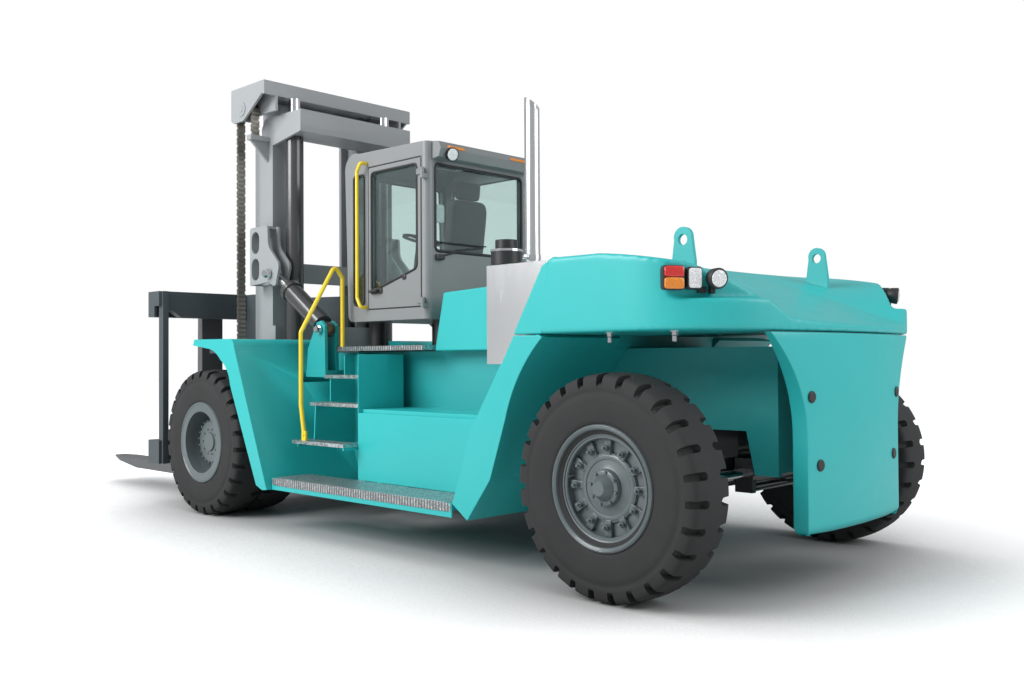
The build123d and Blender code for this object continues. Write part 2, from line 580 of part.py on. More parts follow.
# Air pre-cleaner: a bowl on a neck, drawn in to its lid.
INTAKE_X = WHEELBASE - 3126
INTAKE_Y = 480
INTAKE_STEPS = ((60, 2039, 2200), (125, 2200, 2320), (90, 2320, 2400))  # radius, low, top
with BuildPart() as intake:
    for radius, low, top in INTAKE_STEPS:
        bar((INTAKE_X, INTAKE_Y, low), (INTAKE_X, INTAKE_Y, top), radius)
save(intake, "air_pre_cleaner")

# Cab: hollow shell on rubber mounts, door opening on the left, windows with rounded corners on every side.
WINDOW_CORNER = 35
CAB_SIDE = [(CAB_BACK, CAB_LOW), (CAB_BACK, CAB_TOP), (CAB_BACK + 940, CAB_TOP + 20),
            ((CAB_BACK + 1105, 3300), (CAB_BACK + 1150, 3210)), (CAB_BACK + 1104, CAB_LOW + 60),
            ((CAB_BACK + 1085, CAB_LOW + 18), (CAB_BACK + 1040, CAB_LOW))]
CAB_ROOM = [(CAB_BACK + CAB_WALL, CAB_LOW + CAB_WALL), (CAB_BACK + CAB_WALL, CAB_TOP - CAB_WALL),
            (CAB_BACK + 930, 3285), (CAB_BACK + 1102, 3180), (CAB_BACK + 1057, CAB_LOW + CAB_WALL)]
CAB_VISOR = [(CAB_BACK + 1, CAB_TOP), (CAB_BACK - 80, 3300), (CAB_BACK - 110, 3240), (CAB_BACK - 80, 3170),
             (CAB_BACK + 1, 3160)]
DOOR_WINDOW = [(DOOR_BACK + 60, 2236), (DOOR_BACK + 60, DOOR_TOP - 60), (DOOR_FRONT - 55, DOOR_TOP - 60),
               (DOOR_FRONT - 55, 2060)]


def pane(a, b, c, d):
    """A rectangle's outline between a and b one way and between c and d the other way."""
    return [(a, c), (b, c), (b, d), (a, d)]


QUARTER_LIGHT = pane(CAB_BACK + 860, CAB_BACK + 1020, 1950, 3130)
RIGHT_WINDOW = pane(CAB_BACK + 100, CAB_BACK + 780, 2250, 3160)
REAR_WINDOW = pane(-530, 530, 2380, 3120)
WINDSCREEN = pane(-540, 540, 1950, 3150)
ROOF_LIGHT = pane(CAB_BACK + 180, CAB_BACK + 780, -420, 420)
with BuildPart() as cab:
    side_prism(CAB_SIDE, (-CAB_HALF, CAB_HALF))
    plan_prism(pane(CAB_BACK, CAB_BACK + 1400, -CAB_HALF, CAB_HALF), (CAB_LOW - 10, CAB_TOP + 60),
               mode=Mode.INTERSECT, corner=CAB_CORNER)
    side_prism(CAB_ROOM, (-CAB_HALF + CAB_WALL, CAB_HALF - CAB_WALL), mode=Mode.SUBTRACT)
    block((DOOR_BACK, DOOR_FRONT), (CAB_HALF - 60, CAB_HALF + 10), (DOOR_LOW, DOOR_TOP), mode=Mode.SUBTRACT)
    for s in (1, -1):
        side_prism(QUARTER_LIGHT, (s * (CAB_HALF - 60), s * (CAB_HALF + 10)), Mode.SUBTRACT, WINDOW_CORNER)
    side_prism(RIGHT_WINDOW, (-CAB_HALF - 10, -CAB_HALF + 60), Mode.SUBTRACT, WINDOW_CORNER)
    rear_prism(REAR_WINDOW, (CAB_BACK - 10, CAB_BACK + 60), Mode.SUBTRACT, WINDOW_CORNER)
    rear_prism(WINDSCREEN, (CAB_BACK + 980, CAB_BACK + 1180), Mode.SUBTRACT, WINDOW_CORNER)
    plan_prism(ROOF_LIGHT, (CAB_TOP - 80, CAB_TOP + 40), Mode.SUBTRACT, WINDOW_CORNER)
    side_prism(CAB_VISOR, (-CAB_HALF + CAB_CORNER, CAB_HALF - CAB_CORNER))
    for z in (1890, 2990):
        bar((HINGE_X, HINGE_Y, z), (HINGE_X, HINGE_Y, z + 40 - 0.5), 18)
        block((HINGE_X - 18, HINGE_X + 18), (CAB_HALF - 20, HINGE_Y), (z, z + 40 - 0.5))
save(cab, "cab_shell")

# The glass, each pane the shape of its opening.
lean = 48 / 1410
low_x = CAB_BACK + 1102 + lean * (1950 - CAB_LOW) - 26
high_x = CAB_BACK + 1102 + lean * (3150 - CAB_LOW) - 26
with BuildPart() as windscreen:
    side_prism([(low_x, 1950), (low_x + GLASS, 1950), (high_x + GLASS, 3150), (high_x, 3150)], (-540, 540))
    rear_prism(WINDSCREEN, (CAB_BACK + 980, CAB_BACK + 1180), Mode.INTERSECT, WINDOW_CORNER)
with BuildPart() as glass:
    rear_prism(REAR_WINDOW, (CAB_BACK + 20, CAB_BACK + 20 + GLASS), corner=WINDOW_CORNER)
    side_prism(RIGHT_WINDOW, (-CAB_HALF + 20, -CAB_HALF + 20 + GLASS), corner=WINDOW_CORNER)
    for s in (1, -1):
        side_prism(QUARTER_LIGHT, (s * (CAB_HALF - 20), s * (CAB_HALF - 20 - GLASS)), corner=WINDOW_CORNER)
    plan_prism(ROOF_LIGHT, (CAB_TOP - 22, CAB_TOP - 22 + GLASS), corner=WINDOW_CORNER)
    add(windscreen.part)
save(glass, "cab_glass")

with BuildPart() as door:
    block((DOOR_BACK + RUN, DOOR_FRONT - RUN), (CAB_HALF - 38, CAB_HALF + 2), (DOOR_LOW + RUN, DOOR_TOP - RUN))
    side_prism(DOOR_WINDOW, (CAB_HALF - 60, CAB_HALF + 10), Mode.SUBTRACT, WINDOW_CORNER)
    for z in (1930, 3030):
        block((HINGE_X, DOOR_BACK + 55), (CAB_HALF + 2, CAB_HALF + 14), (z, z + 50))
        bar((HINGE_X, HINGE_Y, z), (HINGE_X, HINGE_Y, z + 50), 18)
save(door, "cab_door")
with BuildPart() as door_glass:
    side_prism(DOOR_WINDOW, (CAB_HALF - 25, CAB_HALF - 25 + GLASS), corner=WINDOW_CORNER)
save(door_glass, "cab_door_glass")

with BuildPart() as base:
    block((CAB_BACK - 60, STEP_FRONT), (-470, 470), (FRAME_TOP + 1, DECK_Z))
    for x in (CAB_BACK + 80, CAB_BACK + 980):
        for y in (-380, 380):
            bar((x, y, DECK_Z), (x, y, CAB_LOW), 70)
save(base, "cab_mounts")

with BuildPart() as seat:
    block((CAB_BACK + 160, CAB_BACK + 610), (-240, 240), (2230, 2340))
    side_prism([(CAB_BACK + 160, 2260), (CAB_BACK + 240, 2300), (CAB_BACK + 170, 3000), (CAB_BACK + 90, 3000)],
               (-220, 220))
    block((CAB_BACK + 230, CAB_BACK + 530), (-180, 180), (CAB_LOW + CAB_WALL, 2230))
save(seat, "driver_seat")
with BuildPart() as column:
    side_prism([(CAB_BACK + 860, CAB_LOW + CAB_WALL), (CAB_BACK + 940, CAB_LOW + CAB_WALL), (CAB_BACK + 820, 2560),
                (CAB_BACK + 770, 2545)], (-45, 45))
    with BuildSketch(Plane(origin=(fx(CAB_BACK + 790), 0, 2570), z_dir=(-0.35, 0, 1))):
        Circle(190)
        Circle(165, mode=Mode.SUBTRACT)
        Rectangle(340, 30)
        Circle(50)
    extrude(amount=24)
    bar((CAB_BACK + 804, 0, 2530), (CAB_BACK + 788, 0, 2576), 24)
save(column, "steering_column")

# Handrails, bent from round tube.
with BuildPart() as rail:
    for s in (1, -1):
        tube_run([(STEP_FRONT - 160, s * 1180, 800), (STEP_FRONT - 110, s * 1180, 1060),
                  (STEP_FRONT - 110, s * 1180, 1700), (STEP_FRONT - 70, s * 790, 2310),
                  (STEP_FRONT - 70, s * 705, 2200), (STEP_FRONT - 70, s * 705, DECK_Z + SEAT)], 19, 40)
        block((STEP_FRONT - 190, STEP_FRONT - 130), (s * 1171, s * 1189), (755 + SEAT, 840))
    tube_run([(CAB_BACK + 830, CAB_HALF + SEAT, 3225), (CAB_BACK + 830, 690, 3225), (CAB_BACK + 880, 690, 3150),
              (CAB_BACK + 880, 690, 2010), (CAB_BACK + 830, 690, 1925), (CAB_BACK + 830, CAB_HALF + SEAT, 1925)],
             16, 25)
save(rail, "handrails")

# Outer mast: two channels open inward, joined by a deep header, on feet that clasp the drive axle, with
# a slotted bracket on each side for the tilt cylinder.
TILT_NOSE = [(124, 2200), (124, 2745), ((115, 2767), (94, 2775)), (-166, 2775), ((-187, 2767), (-196, 2745)),
             (-201, 2640), ((-216, 2572), (-256, 2522)), (-376, 2407), ((-390, 2370), (-386, 2330)),
             (-346, 2215), ((-333, 2186), (-306, 2175)), (-216, 2220)]
SLOT_X = WHEELBASE + 24
SLOT_Z = (2355, 2620)
with BuildPart() as outer_mast:
    for s in (1, -1):
        channel = [(RAIL_BACK, s * RAIL_IN_Y), (RAIL_BACK, s * RAIL_OUT_Y), (RAIL_FRONT, s * RAIL_OUT_Y),
                   (RAIL_FRONT, s * RAIL_IN_Y), (RAIL_FRONT - RAIL_WALL, s * RAIL_IN_Y),
                   (RAIL_FRONT - RAIL_WALL, s * (RAIL_OUT_Y - RAIL_WALL)),
                   (RAIL_BACK + RAIL_WALL, s * (RAIL_OUT_Y - RAIL_WALL)), (RAIL_BACK + RAIL_WALL, s * RAIL_IN_Y)]
        plan_prism(channel, (OUTER_LOW, OUTER_TOP))
        side_prism([(RAIL_BACK, 1150), (RAIL_FRONT, 1150)]
                   + from_drive([(214, AXLE_Z), ((151, 520), (0, 450)), ((-151, 520), (-214, AXLE_Z))]),
                   (s * RAIL_IN_Y, s * RAIL_OUT_Y))
        bar((WHEELBASE, s * 540, AXLE_Z), (WHEELBASE, s * 700, AXLE_Z), AXLE_TUBE_R + FIT, mode=Mode.SUBTRACT)
        side_prism([(HEADER_BACK, HEADER_LOW), (HEADER_BACK, HEADER_TOP), (HEADER_FRONT - 60, HEADER_TOP),
                    (HEADER_FRONT, HEADER_TOP - 90), (HEADER_FRONT, 3600), (WHEELBASE - 46, 3600)],
                   (s * (RAIL_OUT_Y - 30), s * RAIL_OUT_Y))
        for y in (TILT_Y - TILT_GAP - TILT_PLATE, TILT_Y + TILT_GAP):
            side_prism(from_drive(TILT_NOSE), (s * y, s * (y + TILT_PLATE)))
        block((WHEELBASE + 96, WHEELBASE + 124), (s * (TILT_Y - 73), s * (TILT_Y + 73)), (2200, 2740))
        block((WHEELBASE - 160, WHEELBASE + 94), (s * (TILT_Y - 73), s * (TILT_Y + 73)), (2750, 2775))
        with BuildSketch(Plane.XZ.offset(-s * (TILT_Y + 40))) as slots:
            with Locations(*[(fx(SLOT_X), z) for z in SLOT_Z]):
                SlotOverall(218, 139, rotation=90)
        extrude(slots.sketch, amount=-s * 60, mode=Mode.SUBTRACT)
        bar((TILT_FRONT[0], s * (TILT_Y - 60), TILT_FRONT[1]), (TILT_FRONT[0], s * (TILT_Y + 90), TILT_FRONT[1]),
            TILT_PIN_R)
        rear_prism([(s * RAIL_OUT_Y, 3440), (s * RAIL_OUT_Y, 3690), (s * 905, 3690), (s * 905, 3660)],
                   (WHEELBASE + 14, WHEELBASE + 44))
        block((WHEELBASE - 16, WHEELBASE + 64), (s * RAIL_OUT_Y, s * 905), (3640, 3690))
    block((HEADER_BACK, HEADER_BACK + 30), (-RAIL_OUT_Y, RAIL_OUT_Y), (HEADER_LOW, HEADER_TOP))
    block((HEADER_BACK, WHEELBASE - 146), (-RAIL_OUT_Y, RAIL_OUT_Y), (HEADER_LOW, HEADER_LOW + 40))
    block((WHEELBASE - 106, WHEELBASE - 76), (-RAIL_OUT_Y, RAIL_OUT_Y), (1500, 1800))
    for s in (1, -1):
        block((WHEELBASE - 106, RAIL_BACK), (s * RAIL_IN_Y, s * RAIL_OUT_Y), (1500, 1800))
        bar((LIFT_X, s * LIFT_Y, 3600), (LIFT_X, s * LIFT_Y, 3900), LIFT_ROD_R + RUN, mode=Mode.SUBTRACT)
save(outer_mast, "outer_mast")

# Inner mast: channels nested inside the outer ones, tied at the top by the crown that carries the sheaves.
inner_back = RAIL_BACK + INNER_SHIFT
inner_front = RAIL_FRONT + INNER_SHIFT
with BuildPart() as inner_mast:
    for s in (1, -1):
        plan_prism([(inner_back, s * INNER_IN_Y), (inner_back, s * INNER_OUT_Y), (inner_front, s * INNER_OUT_Y),
                    (inner_front, s * INNER_IN_Y), (inner_front - RAIL_WALL, s * INNER_IN_Y),
                    (inner_front - RAIL_WALL, s * (INNER_OUT_Y - RAIL_WALL)),
                    (inner_back + RAIL_WALL, s * (INNER_OUT_Y - RAIL_WALL)),
                    (inner_back + RAIL_WALL, s * INNER_IN_Y)], (INNER_LOW, CROWN_LOW + 10))
        side_prism([(CROWN_BACK, MAST_TOP), (CROWN_FRONT, MAST_TOP), (CROWN_FRONT, CROWN_SIDE_LOW + 30),
                    (WHEELBASE + 294, CROWN_SIDE_LOW), (WHEELBASE + 114, CROWN_SIDE_LOW),
                    (WHEELBASE - 226, CROWN_LOW + 10), (CROWN_BACK, CROWN_LOW + 10)],
                   (s * CROWN_HALF, s * (CROWN_HALF - 25)))
        bar((SHEAVE_X, s * (CROWN_HALF + 12), SHEAVE_Z), (SHEAVE_X, s * (SHEAVE_Y - 50), SHEAVE_Z), 32)
        bar((SHEAVE_X, s * CROWN_HALF, SHEAVE_Z), (SHEAVE_X, s * (CROWN_HALF + 8), SHEAVE_Z), 72)
        block((CROWN_BACK, CROWN_FRONT - 60), (s * 760, s * 790), (SHEAVE_Z - 60, MAST_TOP - 5))
        block((CROWN_BACK, LIFT_X + 90), (s * (LIFT_Y - 90), s * (LIFT_Y + 90)), (CROWN_LOW, CROWN_LOW + 40))
    block((CROWN_BACK, CROWN_BACK + 30), (-CROWN_HALF, CROWN_HALF), (CROWN_LOW, MAST_TOP))
    block((CROWN_BACK, CROWN_FRONT), (-CROWN_HALF, CROWN_HALF), (MAST_TOP - 25, MAST_TOP))
    block((CROWN_FRONT - 30, CROWN_FRONT), (-CROWN_HALF, CROWN_HALF), (CROWN_LOW, MAST_TOP))
    block((inner_back, inner_back + 40), (-INNER_OUT_Y, INNER_OUT_Y), (2250, 2450))
save(inner_mast, "inner_mast")

with BuildPart() as sheaves:
    for s in (1, -1):
        bar((SHEAVE_X, s * (SHEAVE_Y - 44), SHEAVE_Z), (SHEAVE_X, s * (SHEAVE_Y + 44), SHEAVE_Z), SHEAVE_R)
        bar((SHEAVE_X, s * (SHEAVE_Y - 60), SHEAVE_Z), (SHEAVE_X, s * (SHEAVE_Y + 60), SHEAVE_Z), 32 + FIT,
            mode=Mode.SUBTRACT)
save(sheaves, "chain_sheaves")

# Leaf chains: each strand is a pack of plates, seen from the side as one outline that draws in
# between the pins.
CHAIN_FRONT_X = SHEAVE_X + SHEAVE_R + CHAIN_THICK / 2 + SEAT
CHAIN_REAR_X = SHEAVE_X - SHEAVE_R - CHAIN_THICK / 2 - SEAT
CHAIN_LOW = 1620
for name, x, low in (("front", CHAIN_FRONT_X, CHAIN_LOW), ("rear", CHAIN_REAR_X, 3690 + SEAT)):
    half_pitches = 2 * round((SHEAVE_Z - low) / CHAIN_PITCH)
    step = (SHEAVE_Z - low) / half_pitches
    edge = [(CHAIN_THICK / 2 - (k % 2) * CHAIN_WAIST, low + k * step) for k in range(half_pitches + 1)]
    with BuildPart() as strand:
        for s in (1, -1):
            side_prism([(x + half, z) for half, z in edge] + [(x - half, z) for half, z in reversed(edge)],
                       (s * SHEAVE_Y - CHAIN_WIDE / 2, s * SHEAVE_Y + CHAIN_WIDE / 2))
    save(strand, f"chain_{name}_strands")

# Lift cylinders behind the rails: barrels on the outer mast, rods pushing the crown.
with BuildPart() as lift_barrels:
    for s in (1, -1):
        bar((LIFT_X, s * LIFT_Y, 1180), (LIFT_X, s * LIFT_Y, HEADER_LOW), LIFT_R)
        bar((LIFT_X, s * LIFT_Y, 1240), (LIFT_X, s * LIFT_Y, HEADER_LOW + 10), LIFT_ROD_R + FIT,
            mode=Mode.SUBTRACT)
        block((LIFT_X + 60, RAIL_BACK), (s * (LIFT_Y - 5), s * (LIFT_Y + 35)), (1180, 1300))
save(lift_barrels, "lift_barrels")
with BuildPart() as lift_rods:
    for s in (1, -1):
        bar((LIFT_X, s * LIFT_Y, 1330), (LIFT_X, s * LIFT_Y, CROWN_LOW), LIFT_ROD_R)
save(lift_rods, "lift_rods")

# Carriage: rollers in the inner mast, side plates forward past the wheels, and the cross beams.
ARM_TIP = WHEELBASE + 794
with BuildPart() as carriage:
    for s in (1, -1):
        side_prism([(WHEELBASE + 114, 1160), (WHEELBASE + 274, 1160), (ARM_TIP, 700), (ARM_TIP, FOOT_LOW),
                    (CARRIAGE_FRONT, FOOT_LOW), (CARRIAGE_FRONT, BEAM_TOP), (ARM_TIP, BEAM_TOP),
                    (WHEELBASE + 274, 2150), (WHEELBASE + 114, 2150)], (s * 365, s * 400))
        for z in ROLLER_Z:
            x = (inner_back + inner_front) / 2
            bar((x, s * 390, z), (x, s * (INNER_OUT_Y - RAIL_WALL - RUN), z), ROLLER_R)
        block((WHEELBASE + 884, WHEELBASE + 974), (s * 1310, s * 1370), (FOOT_LOW, BEAM_TOP))
        block((CARRIAGE_FRONT - 1, BAR_FRONT), (s * (CARRIAGE_HALF - 30), s * CARRIAGE_HALF), (BAR_LOW, BEAM_TOP))
        block((WHEELBASE + 494, ARM_TIP), (s * 390, s * 905), (CHAIN_LOW - 90, CHAIN_LOW - 30))
        block((CHAIN_FRONT_X - 60, WHEELBASE + 504), (s * 800, s * 905), (CHAIN_LOW - 90, CHAIN_LOW - SEAT))
    block((CARRIAGE_BACK, CARRIAGE_FRONT), (-CARRIAGE_HALF, CARRIAGE_HALF), (BEAM_LOW, BEAM_TOP))
    rear_prism([(-1330, BEAM_LOW), (-1150, 1900), (1150, 1900), (1330, BEAM_LOW)], (CARRIAGE_BACK, CARRIAGE_FRONT))
    block((BAR_BACK, BAR_FRONT), (-CARRIAGE_HALF, CARRIAGE_HALF), (BAR_LOW, BAR_TOP))
    block((CARRIAGE_BACK, BAR_FRONT), (-CARRIAGE_HALF, CARRIAGE_HALF), (FOOT_LOW, FOOT_TOP))
save(carriage, "carriage")

# Forks: forged L with a tapered blade, hooked over the carriage bar.
shank = BAR_FRONT + RUN
fork_tip = WHEELBASE + FORK_FACE + FORK_LENGTH
HOOK = [(shank + FORK_THICK, FORK_LOW + 150), (shank + FORK_THICK - 20, BAR_TOP + 65)] + from_drive(
    [(1024, BAR_TOP + 65), (1019, 1960), (1049, 1960), (1049, BAR_TOP + SEAT)]) + [(shank, BAR_TOP + SEAT)]
for name, s in SIDES:
    with BuildPart() as fork:
        side_prism([(shank, FORK_LOW + 60), ((shank + 18, FORK_LOW + 18), (shank + 60, FORK_LOW)),
                    (fork_tip - 700, FORK_LOW), (fork_tip, FORK_LOW + FORK_THICK - 22),
                    (fork_tip, FORK_LOW + FORK_THICK), (shank + 150, FORK_LOW + FORK_THICK),
                    ((shank + FORK_THICK + 12, FORK_LOW + FORK_THICK + 12), HOOK[0])] + HOOK[1:],
                   (s * (FORK_Y - FORK_WIDE / 2), s * (FORK_Y + FORK_WIDE / 2)))
        for side in (-1, 1):
            plan_prism([(fork_tip + 10, s * (FORK_Y + side * (FORK_WIDE / 2 + 10))),
                        (fork_tip + 10, s * (FORK_Y + side * 60)),
                        (fork_tip - 300, s * (FORK_Y + side * (FORK_WIDE / 2 + 10)))],
                       (0, 600), mode=Mode.SUBTRACT)
    save(fork, f"fork_{name}")

# Tilt cylinders between the frame and the outer mast.
dx = TILT_FRONT[0] - TILT_REAR[0]
dz = TILT_FRONT[1] - TILT_REAR[1]
span = hypot(dx, dz)
ux, uz = dx / span, dz / span


def along(distance, y):
    """A point on the tilt cylinder's line, this far from its rear pin."""
    return (TILT_REAR[0] + ux * distance, y, TILT_REAR[1] + uz * distance)


BARREL_FRONT = 730
COLLAR = 60  # length of the barrel's collar
for name, s in SIDES:
    y = s * TILT_Y
    with BuildPart() as barrel:
        bar(along(90, y), along(BARREL_FRONT, y), TILT_R)
        bar(along(BARREL_FRONT - COLLAR, y), along(BARREL_FRONT, y), TILT_R + 12)
        bar((TILT_REAR[0], y - 38, TILT_REAR[1]), (TILT_REAR[0], y + 38, TILT_REAR[1]), TILT_EYE_R)
        with BuildSketch(Plane(origin=(fx(TILT_REAR[0]), y, TILT_REAR[1]), z_dir=(ux, 0, uz))):
            Rectangle(100, 76)
        extrude(amount=100)
        bar(along(120, y), along(BARREL_FRONT + 10, y), TILT_ROD_R + FIT, mode=Mode.SUBTRACT)
        bar((TILT_REAR[0], y - 50, TILT_REAR[1]), (TILT_REAR[0], y + 50, TILT_REAR[1]), TILT_PIN_R + FIT,
            mode=Mode.SUBTRACT)
    save(barrel, f"tilt_barrel_{name}")
    with BuildPart() as rod:
        bar(along(300, y), along(span - 60, y), TILT_ROD_R)
        bar((TILT_FRONT[0], y - 26, TILT_FRONT[1]), (TILT_FRONT[0], y + 26, TILT_FRONT[1]), TILT_EYE_R)
        bar((TILT_FRONT[0], y - 50, TILT_FRONT[1]), (TILT_FRONT[0], y + 50, TILT_FRONT[1]), TILT_PIN_R + 6,
            mode=Mode.SUBTRACT)
    save(rod, f"tilt_rod_{name}")
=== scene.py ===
# %% [markdown]
# A heavy counterbalance forklift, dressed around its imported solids.
# The solids hold every size and every joint. This script gives them their finishes and adds what is
# too fine for solids: tyre tread, chain links, bolts, seals, seat pads and lamps. Everything is in metres.

# %% Load the frame
import json

import bmesh
import bpy
import numpy as np
from mathutils import Matrix, Vector


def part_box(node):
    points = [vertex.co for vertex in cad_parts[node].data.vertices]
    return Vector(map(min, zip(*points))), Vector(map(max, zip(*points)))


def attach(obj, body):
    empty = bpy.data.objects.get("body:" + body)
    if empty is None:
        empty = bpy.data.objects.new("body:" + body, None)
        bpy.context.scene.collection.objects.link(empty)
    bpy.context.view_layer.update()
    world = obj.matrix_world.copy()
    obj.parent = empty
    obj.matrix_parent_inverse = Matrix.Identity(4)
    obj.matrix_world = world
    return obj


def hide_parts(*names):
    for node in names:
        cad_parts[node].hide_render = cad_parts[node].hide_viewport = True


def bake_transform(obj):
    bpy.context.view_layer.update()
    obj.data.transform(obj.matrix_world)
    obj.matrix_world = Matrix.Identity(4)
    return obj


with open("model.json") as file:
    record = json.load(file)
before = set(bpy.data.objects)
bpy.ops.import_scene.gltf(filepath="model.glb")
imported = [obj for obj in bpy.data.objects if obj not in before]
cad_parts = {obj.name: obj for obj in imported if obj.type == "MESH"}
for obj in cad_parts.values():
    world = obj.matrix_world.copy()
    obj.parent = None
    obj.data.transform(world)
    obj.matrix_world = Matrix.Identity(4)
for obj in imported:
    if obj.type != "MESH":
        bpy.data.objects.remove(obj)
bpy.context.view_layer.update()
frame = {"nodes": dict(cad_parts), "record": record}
NODES = frame["nodes"]
SIDES = (("left", 1), ("right", -1))
FRAME_X = -3.725  # the steered axle in the shared frame; other places are measured forward from it
BODY_OF = {node: body for body, members in frame["record"]["behaviour"]["bodies"].items() for node in members}

# %% [markdown]
# The camera stands low behind the left rear wheel, with a 35 mm lens on a 36 mm sensor.
# Its place was worked out from the wheels' circles and from lines that run along and across the truck.
# A look-at constraint would be quicker, but three named angles keep the small roll of the picture.

# %% Camera
CAMERA_AT = (-7.468, 6.138, 1.452)
YAW, PITCH, ROLL = np.radians([-45.77, 1.02, -0.33])


def camera_axes(yaw, pitch, roll):
    """Columns right, up and backwards: a heading turned by yaw, raised by pitch, then rolled about itself."""
    ahead = np.array([np.cos(yaw) * np.cos(pitch), np.sin(yaw) * np.cos(pitch), np.sin(pitch)])
    flat = np.array([np.sin(yaw), -np.cos(yaw), 0.0])
    over = np.cross(flat, ahead)
    right = flat * np.cos(roll) + over * np.sin(roll)
    up = over * np.cos(roll) - flat * np.sin(roll)
    return np.column_stack([right, up, -ahead])


def stand(name, data):
    """Make an object of a mesh, a lens or a light, and put it into the scene."""
    made = bpy.data.objects.new(name, data)
    bpy.context.scene.collection.objects.link(made)
    return made


lens = bpy.data.cameras.new("camera")
lens.lens = 35.045
lens.sensor_width = 36.0
camera = stand("camera", lens)
camera.matrix_world = Matrix.Translation(CAMERA_AT) @ Matrix(camera_axes(YAW, PITCH, ROLL).tolist()).to_4x4()
bpy.context.scene.camera = camera
print("camera at", CAMERA_AT)

# %% [markdown]
# The studio is a white floor and a white sky. The sky is pure white only to the camera and through
# glass, and a calmer grey to everything else, so the paint keeps its own colour.
# One broad lamp on the driver's side makes the faces that look that way the lightest ones.

# %% Studio
FLOOR_SIZE = 120.0
KEY_POWER = 2300.0
SKY_LIGHT = 0.46


def wire(tree, kind, *inputs, **sockets):
    """Add a node and fill its inputs, in order or by name, with numbers, colours or other nodes' outputs."""
    made = tree.nodes.new(kind)
    for key, value in [*enumerate(inputs), *sockets.items()]:
        socket = made.inputs[key.replace("_", " ") if isinstance(key, str) else key]
        if isinstance(value, bpy.types.NodeSocket):
            tree.links.new(value, socket)
        else:
            socket.default_value = value
    return made


def maths(tree, operation, a, b):
    """The result of one operation on two values."""
    made = wire(tree, "ShaderNodeMath", a, b)
    made.operation = operation
    return made.outputs[0]


world = bpy.data.worlds.new("studio")
bpy.context.scene.world = world
world.use_nodes = True
tree = world.node_tree
tree.nodes.clear()
rays = tree.nodes.new("ShaderNodeLightPath")
seen = maths(tree, "MAXIMUM", rays.outputs["Is Camera Ray"], rays.outputs["Is Transmission Ray"])
dim = wire(tree, "ShaderNodeBackground", Color=(0.93, 0.97, 1.0, 1), Strength=SKY_LIGHT)
white = wire(tree, "ShaderNodeBackground", Color=(1, 1, 1, 1), Strength=1.0)
sky = wire(tree, "ShaderNodeMixShader", seen, dim.outputs[0], white.outputs[0])
wire(tree, "ShaderNodeOutputWorld", sky.outputs[0])


def lamp(name, place, aim, size, power):
    """A square lamp at a place, turned towards a point."""
    data = bpy.data.lights.new(name, "AREA")
    data.size = size
    data.energy = power
    made = stand(name, data)
    made.location = place
    made.rotation_euler = (Vector(aim) - Vector(place)).to_track_quat("-Z", "Y").to_euler()


lamp("key", (3.0, 12.0, 9.0), (0, 0, 1), 9.0, KEY_POWER)
lamp("fill", (-12.0, -3.0, 7.0), (0, 0, 1), 8.0, KEY_POWER * 0.28)
print("studio ready")

# %% [markdown]
# New pieces are grids of points. Rows and columns of the grid are the two parameters of a surface,
# numpy works all the points out at once, and the faces are the same index sums for every grid.
# Building them face by face would give the same mesh, only slower and harder to read.

# %% Surfaces from arrays


def quads(rows, cols, wrap_rows=False, wrap_cols=False):
    """Index array of the faces between neighbouring rows and columns, closed round where asked."""
    r = np.arange(rows if wrap_rows else rows - 1)[:, None]
    c = np.arange(cols if wrap_cols else cols - 1)[None, :]
    r2, c2 = (r + 1) % rows, (c + 1) % cols
    return np.stack([r * cols + c, r * cols + c2, r2 * cols + c2, r2 * cols + c], axis=-1).reshape(-1, 4)


def piece(name, surface, slot="trim_black", body="chassis", sharp=35, finish=None):
    """Make an object from a (points, faces) pair: weld it, turn its faces outward, finish it, let it ride."""
    points, faces = surface
    points = np.asarray(points, dtype=np.float32).reshape(-1, 3)
    faces = np.asarray(faces, dtype=np.int32).reshape(-1, 4)
    mesh = bpy.data.meshes.new(name)
    mesh.vertices.add(len(points))
    mesh.vertices.foreach_set("co", points.ravel())
    mesh.loops.add(faces.size)
    mesh.loops.foreach_set("vertex_index", faces.ravel())
    mesh.polygons.add(len(faces))
    mesh.polygons.foreach_set("loop_start", np.arange(0, faces.size, 4, dtype=np.int32))
    mesh.polygons.foreach_set("loop_total", np.full(len(faces), 4, dtype=np.int32))
    mesh.polygons.foreach_set("use_smooth", np.full(len(faces), True))
    mesh.materials.append(M[finish or slot])
    mesh.update(calc_edges=True)
    work = bmesh.new()
    work.from_mesh(mesh)
    bmesh.ops.remove_doubles(work, verts=work.verts, dist=1e-6)
    bmesh.ops.recalc_face_normals(work, faces=work.faces)
    work.to_mesh(mesh)
    work.free()
    mesh.set_sharp_from_angle(angle=np.radians(sharp))
    made = stand(name, mesh)
    if body:
        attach(made, body)
    print(name, len(mesh.vertices), "points", len(mesh.polygons), "faces")
    return made


def repeated(points, faces, places):
    """Copy one small mesh to many places: places is a (k, 4, 4) array of matrices."""
    points = np.asarray(points, dtype=float).reshape(-1, 3)
    ones = np.concatenate([points, np.ones((len(points), 1))], axis=1)
    all_points = np.einsum("kij,nj->kni", np.asarray(places, dtype=float), ones)[..., :3].reshape(-1, 3)
    steps = (np.arange(len(places)) * len(points))[:, None, None]
    return all_points, (np.asarray(faces)[None] + steps).reshape(-1, 4)


def joined(*meshes):
    """Join (points, faces) pairs into one pair."""
    points, faces, start = [], [], 0
    for p, f in meshes:
        points.append(np.asarray(p).reshape(-1, 3))
        faces.append(np.asarray(f).reshape(-1, 4) + start)
        start += len(points[-1])
    return np.concatenate(points), np.concatenate(faces)


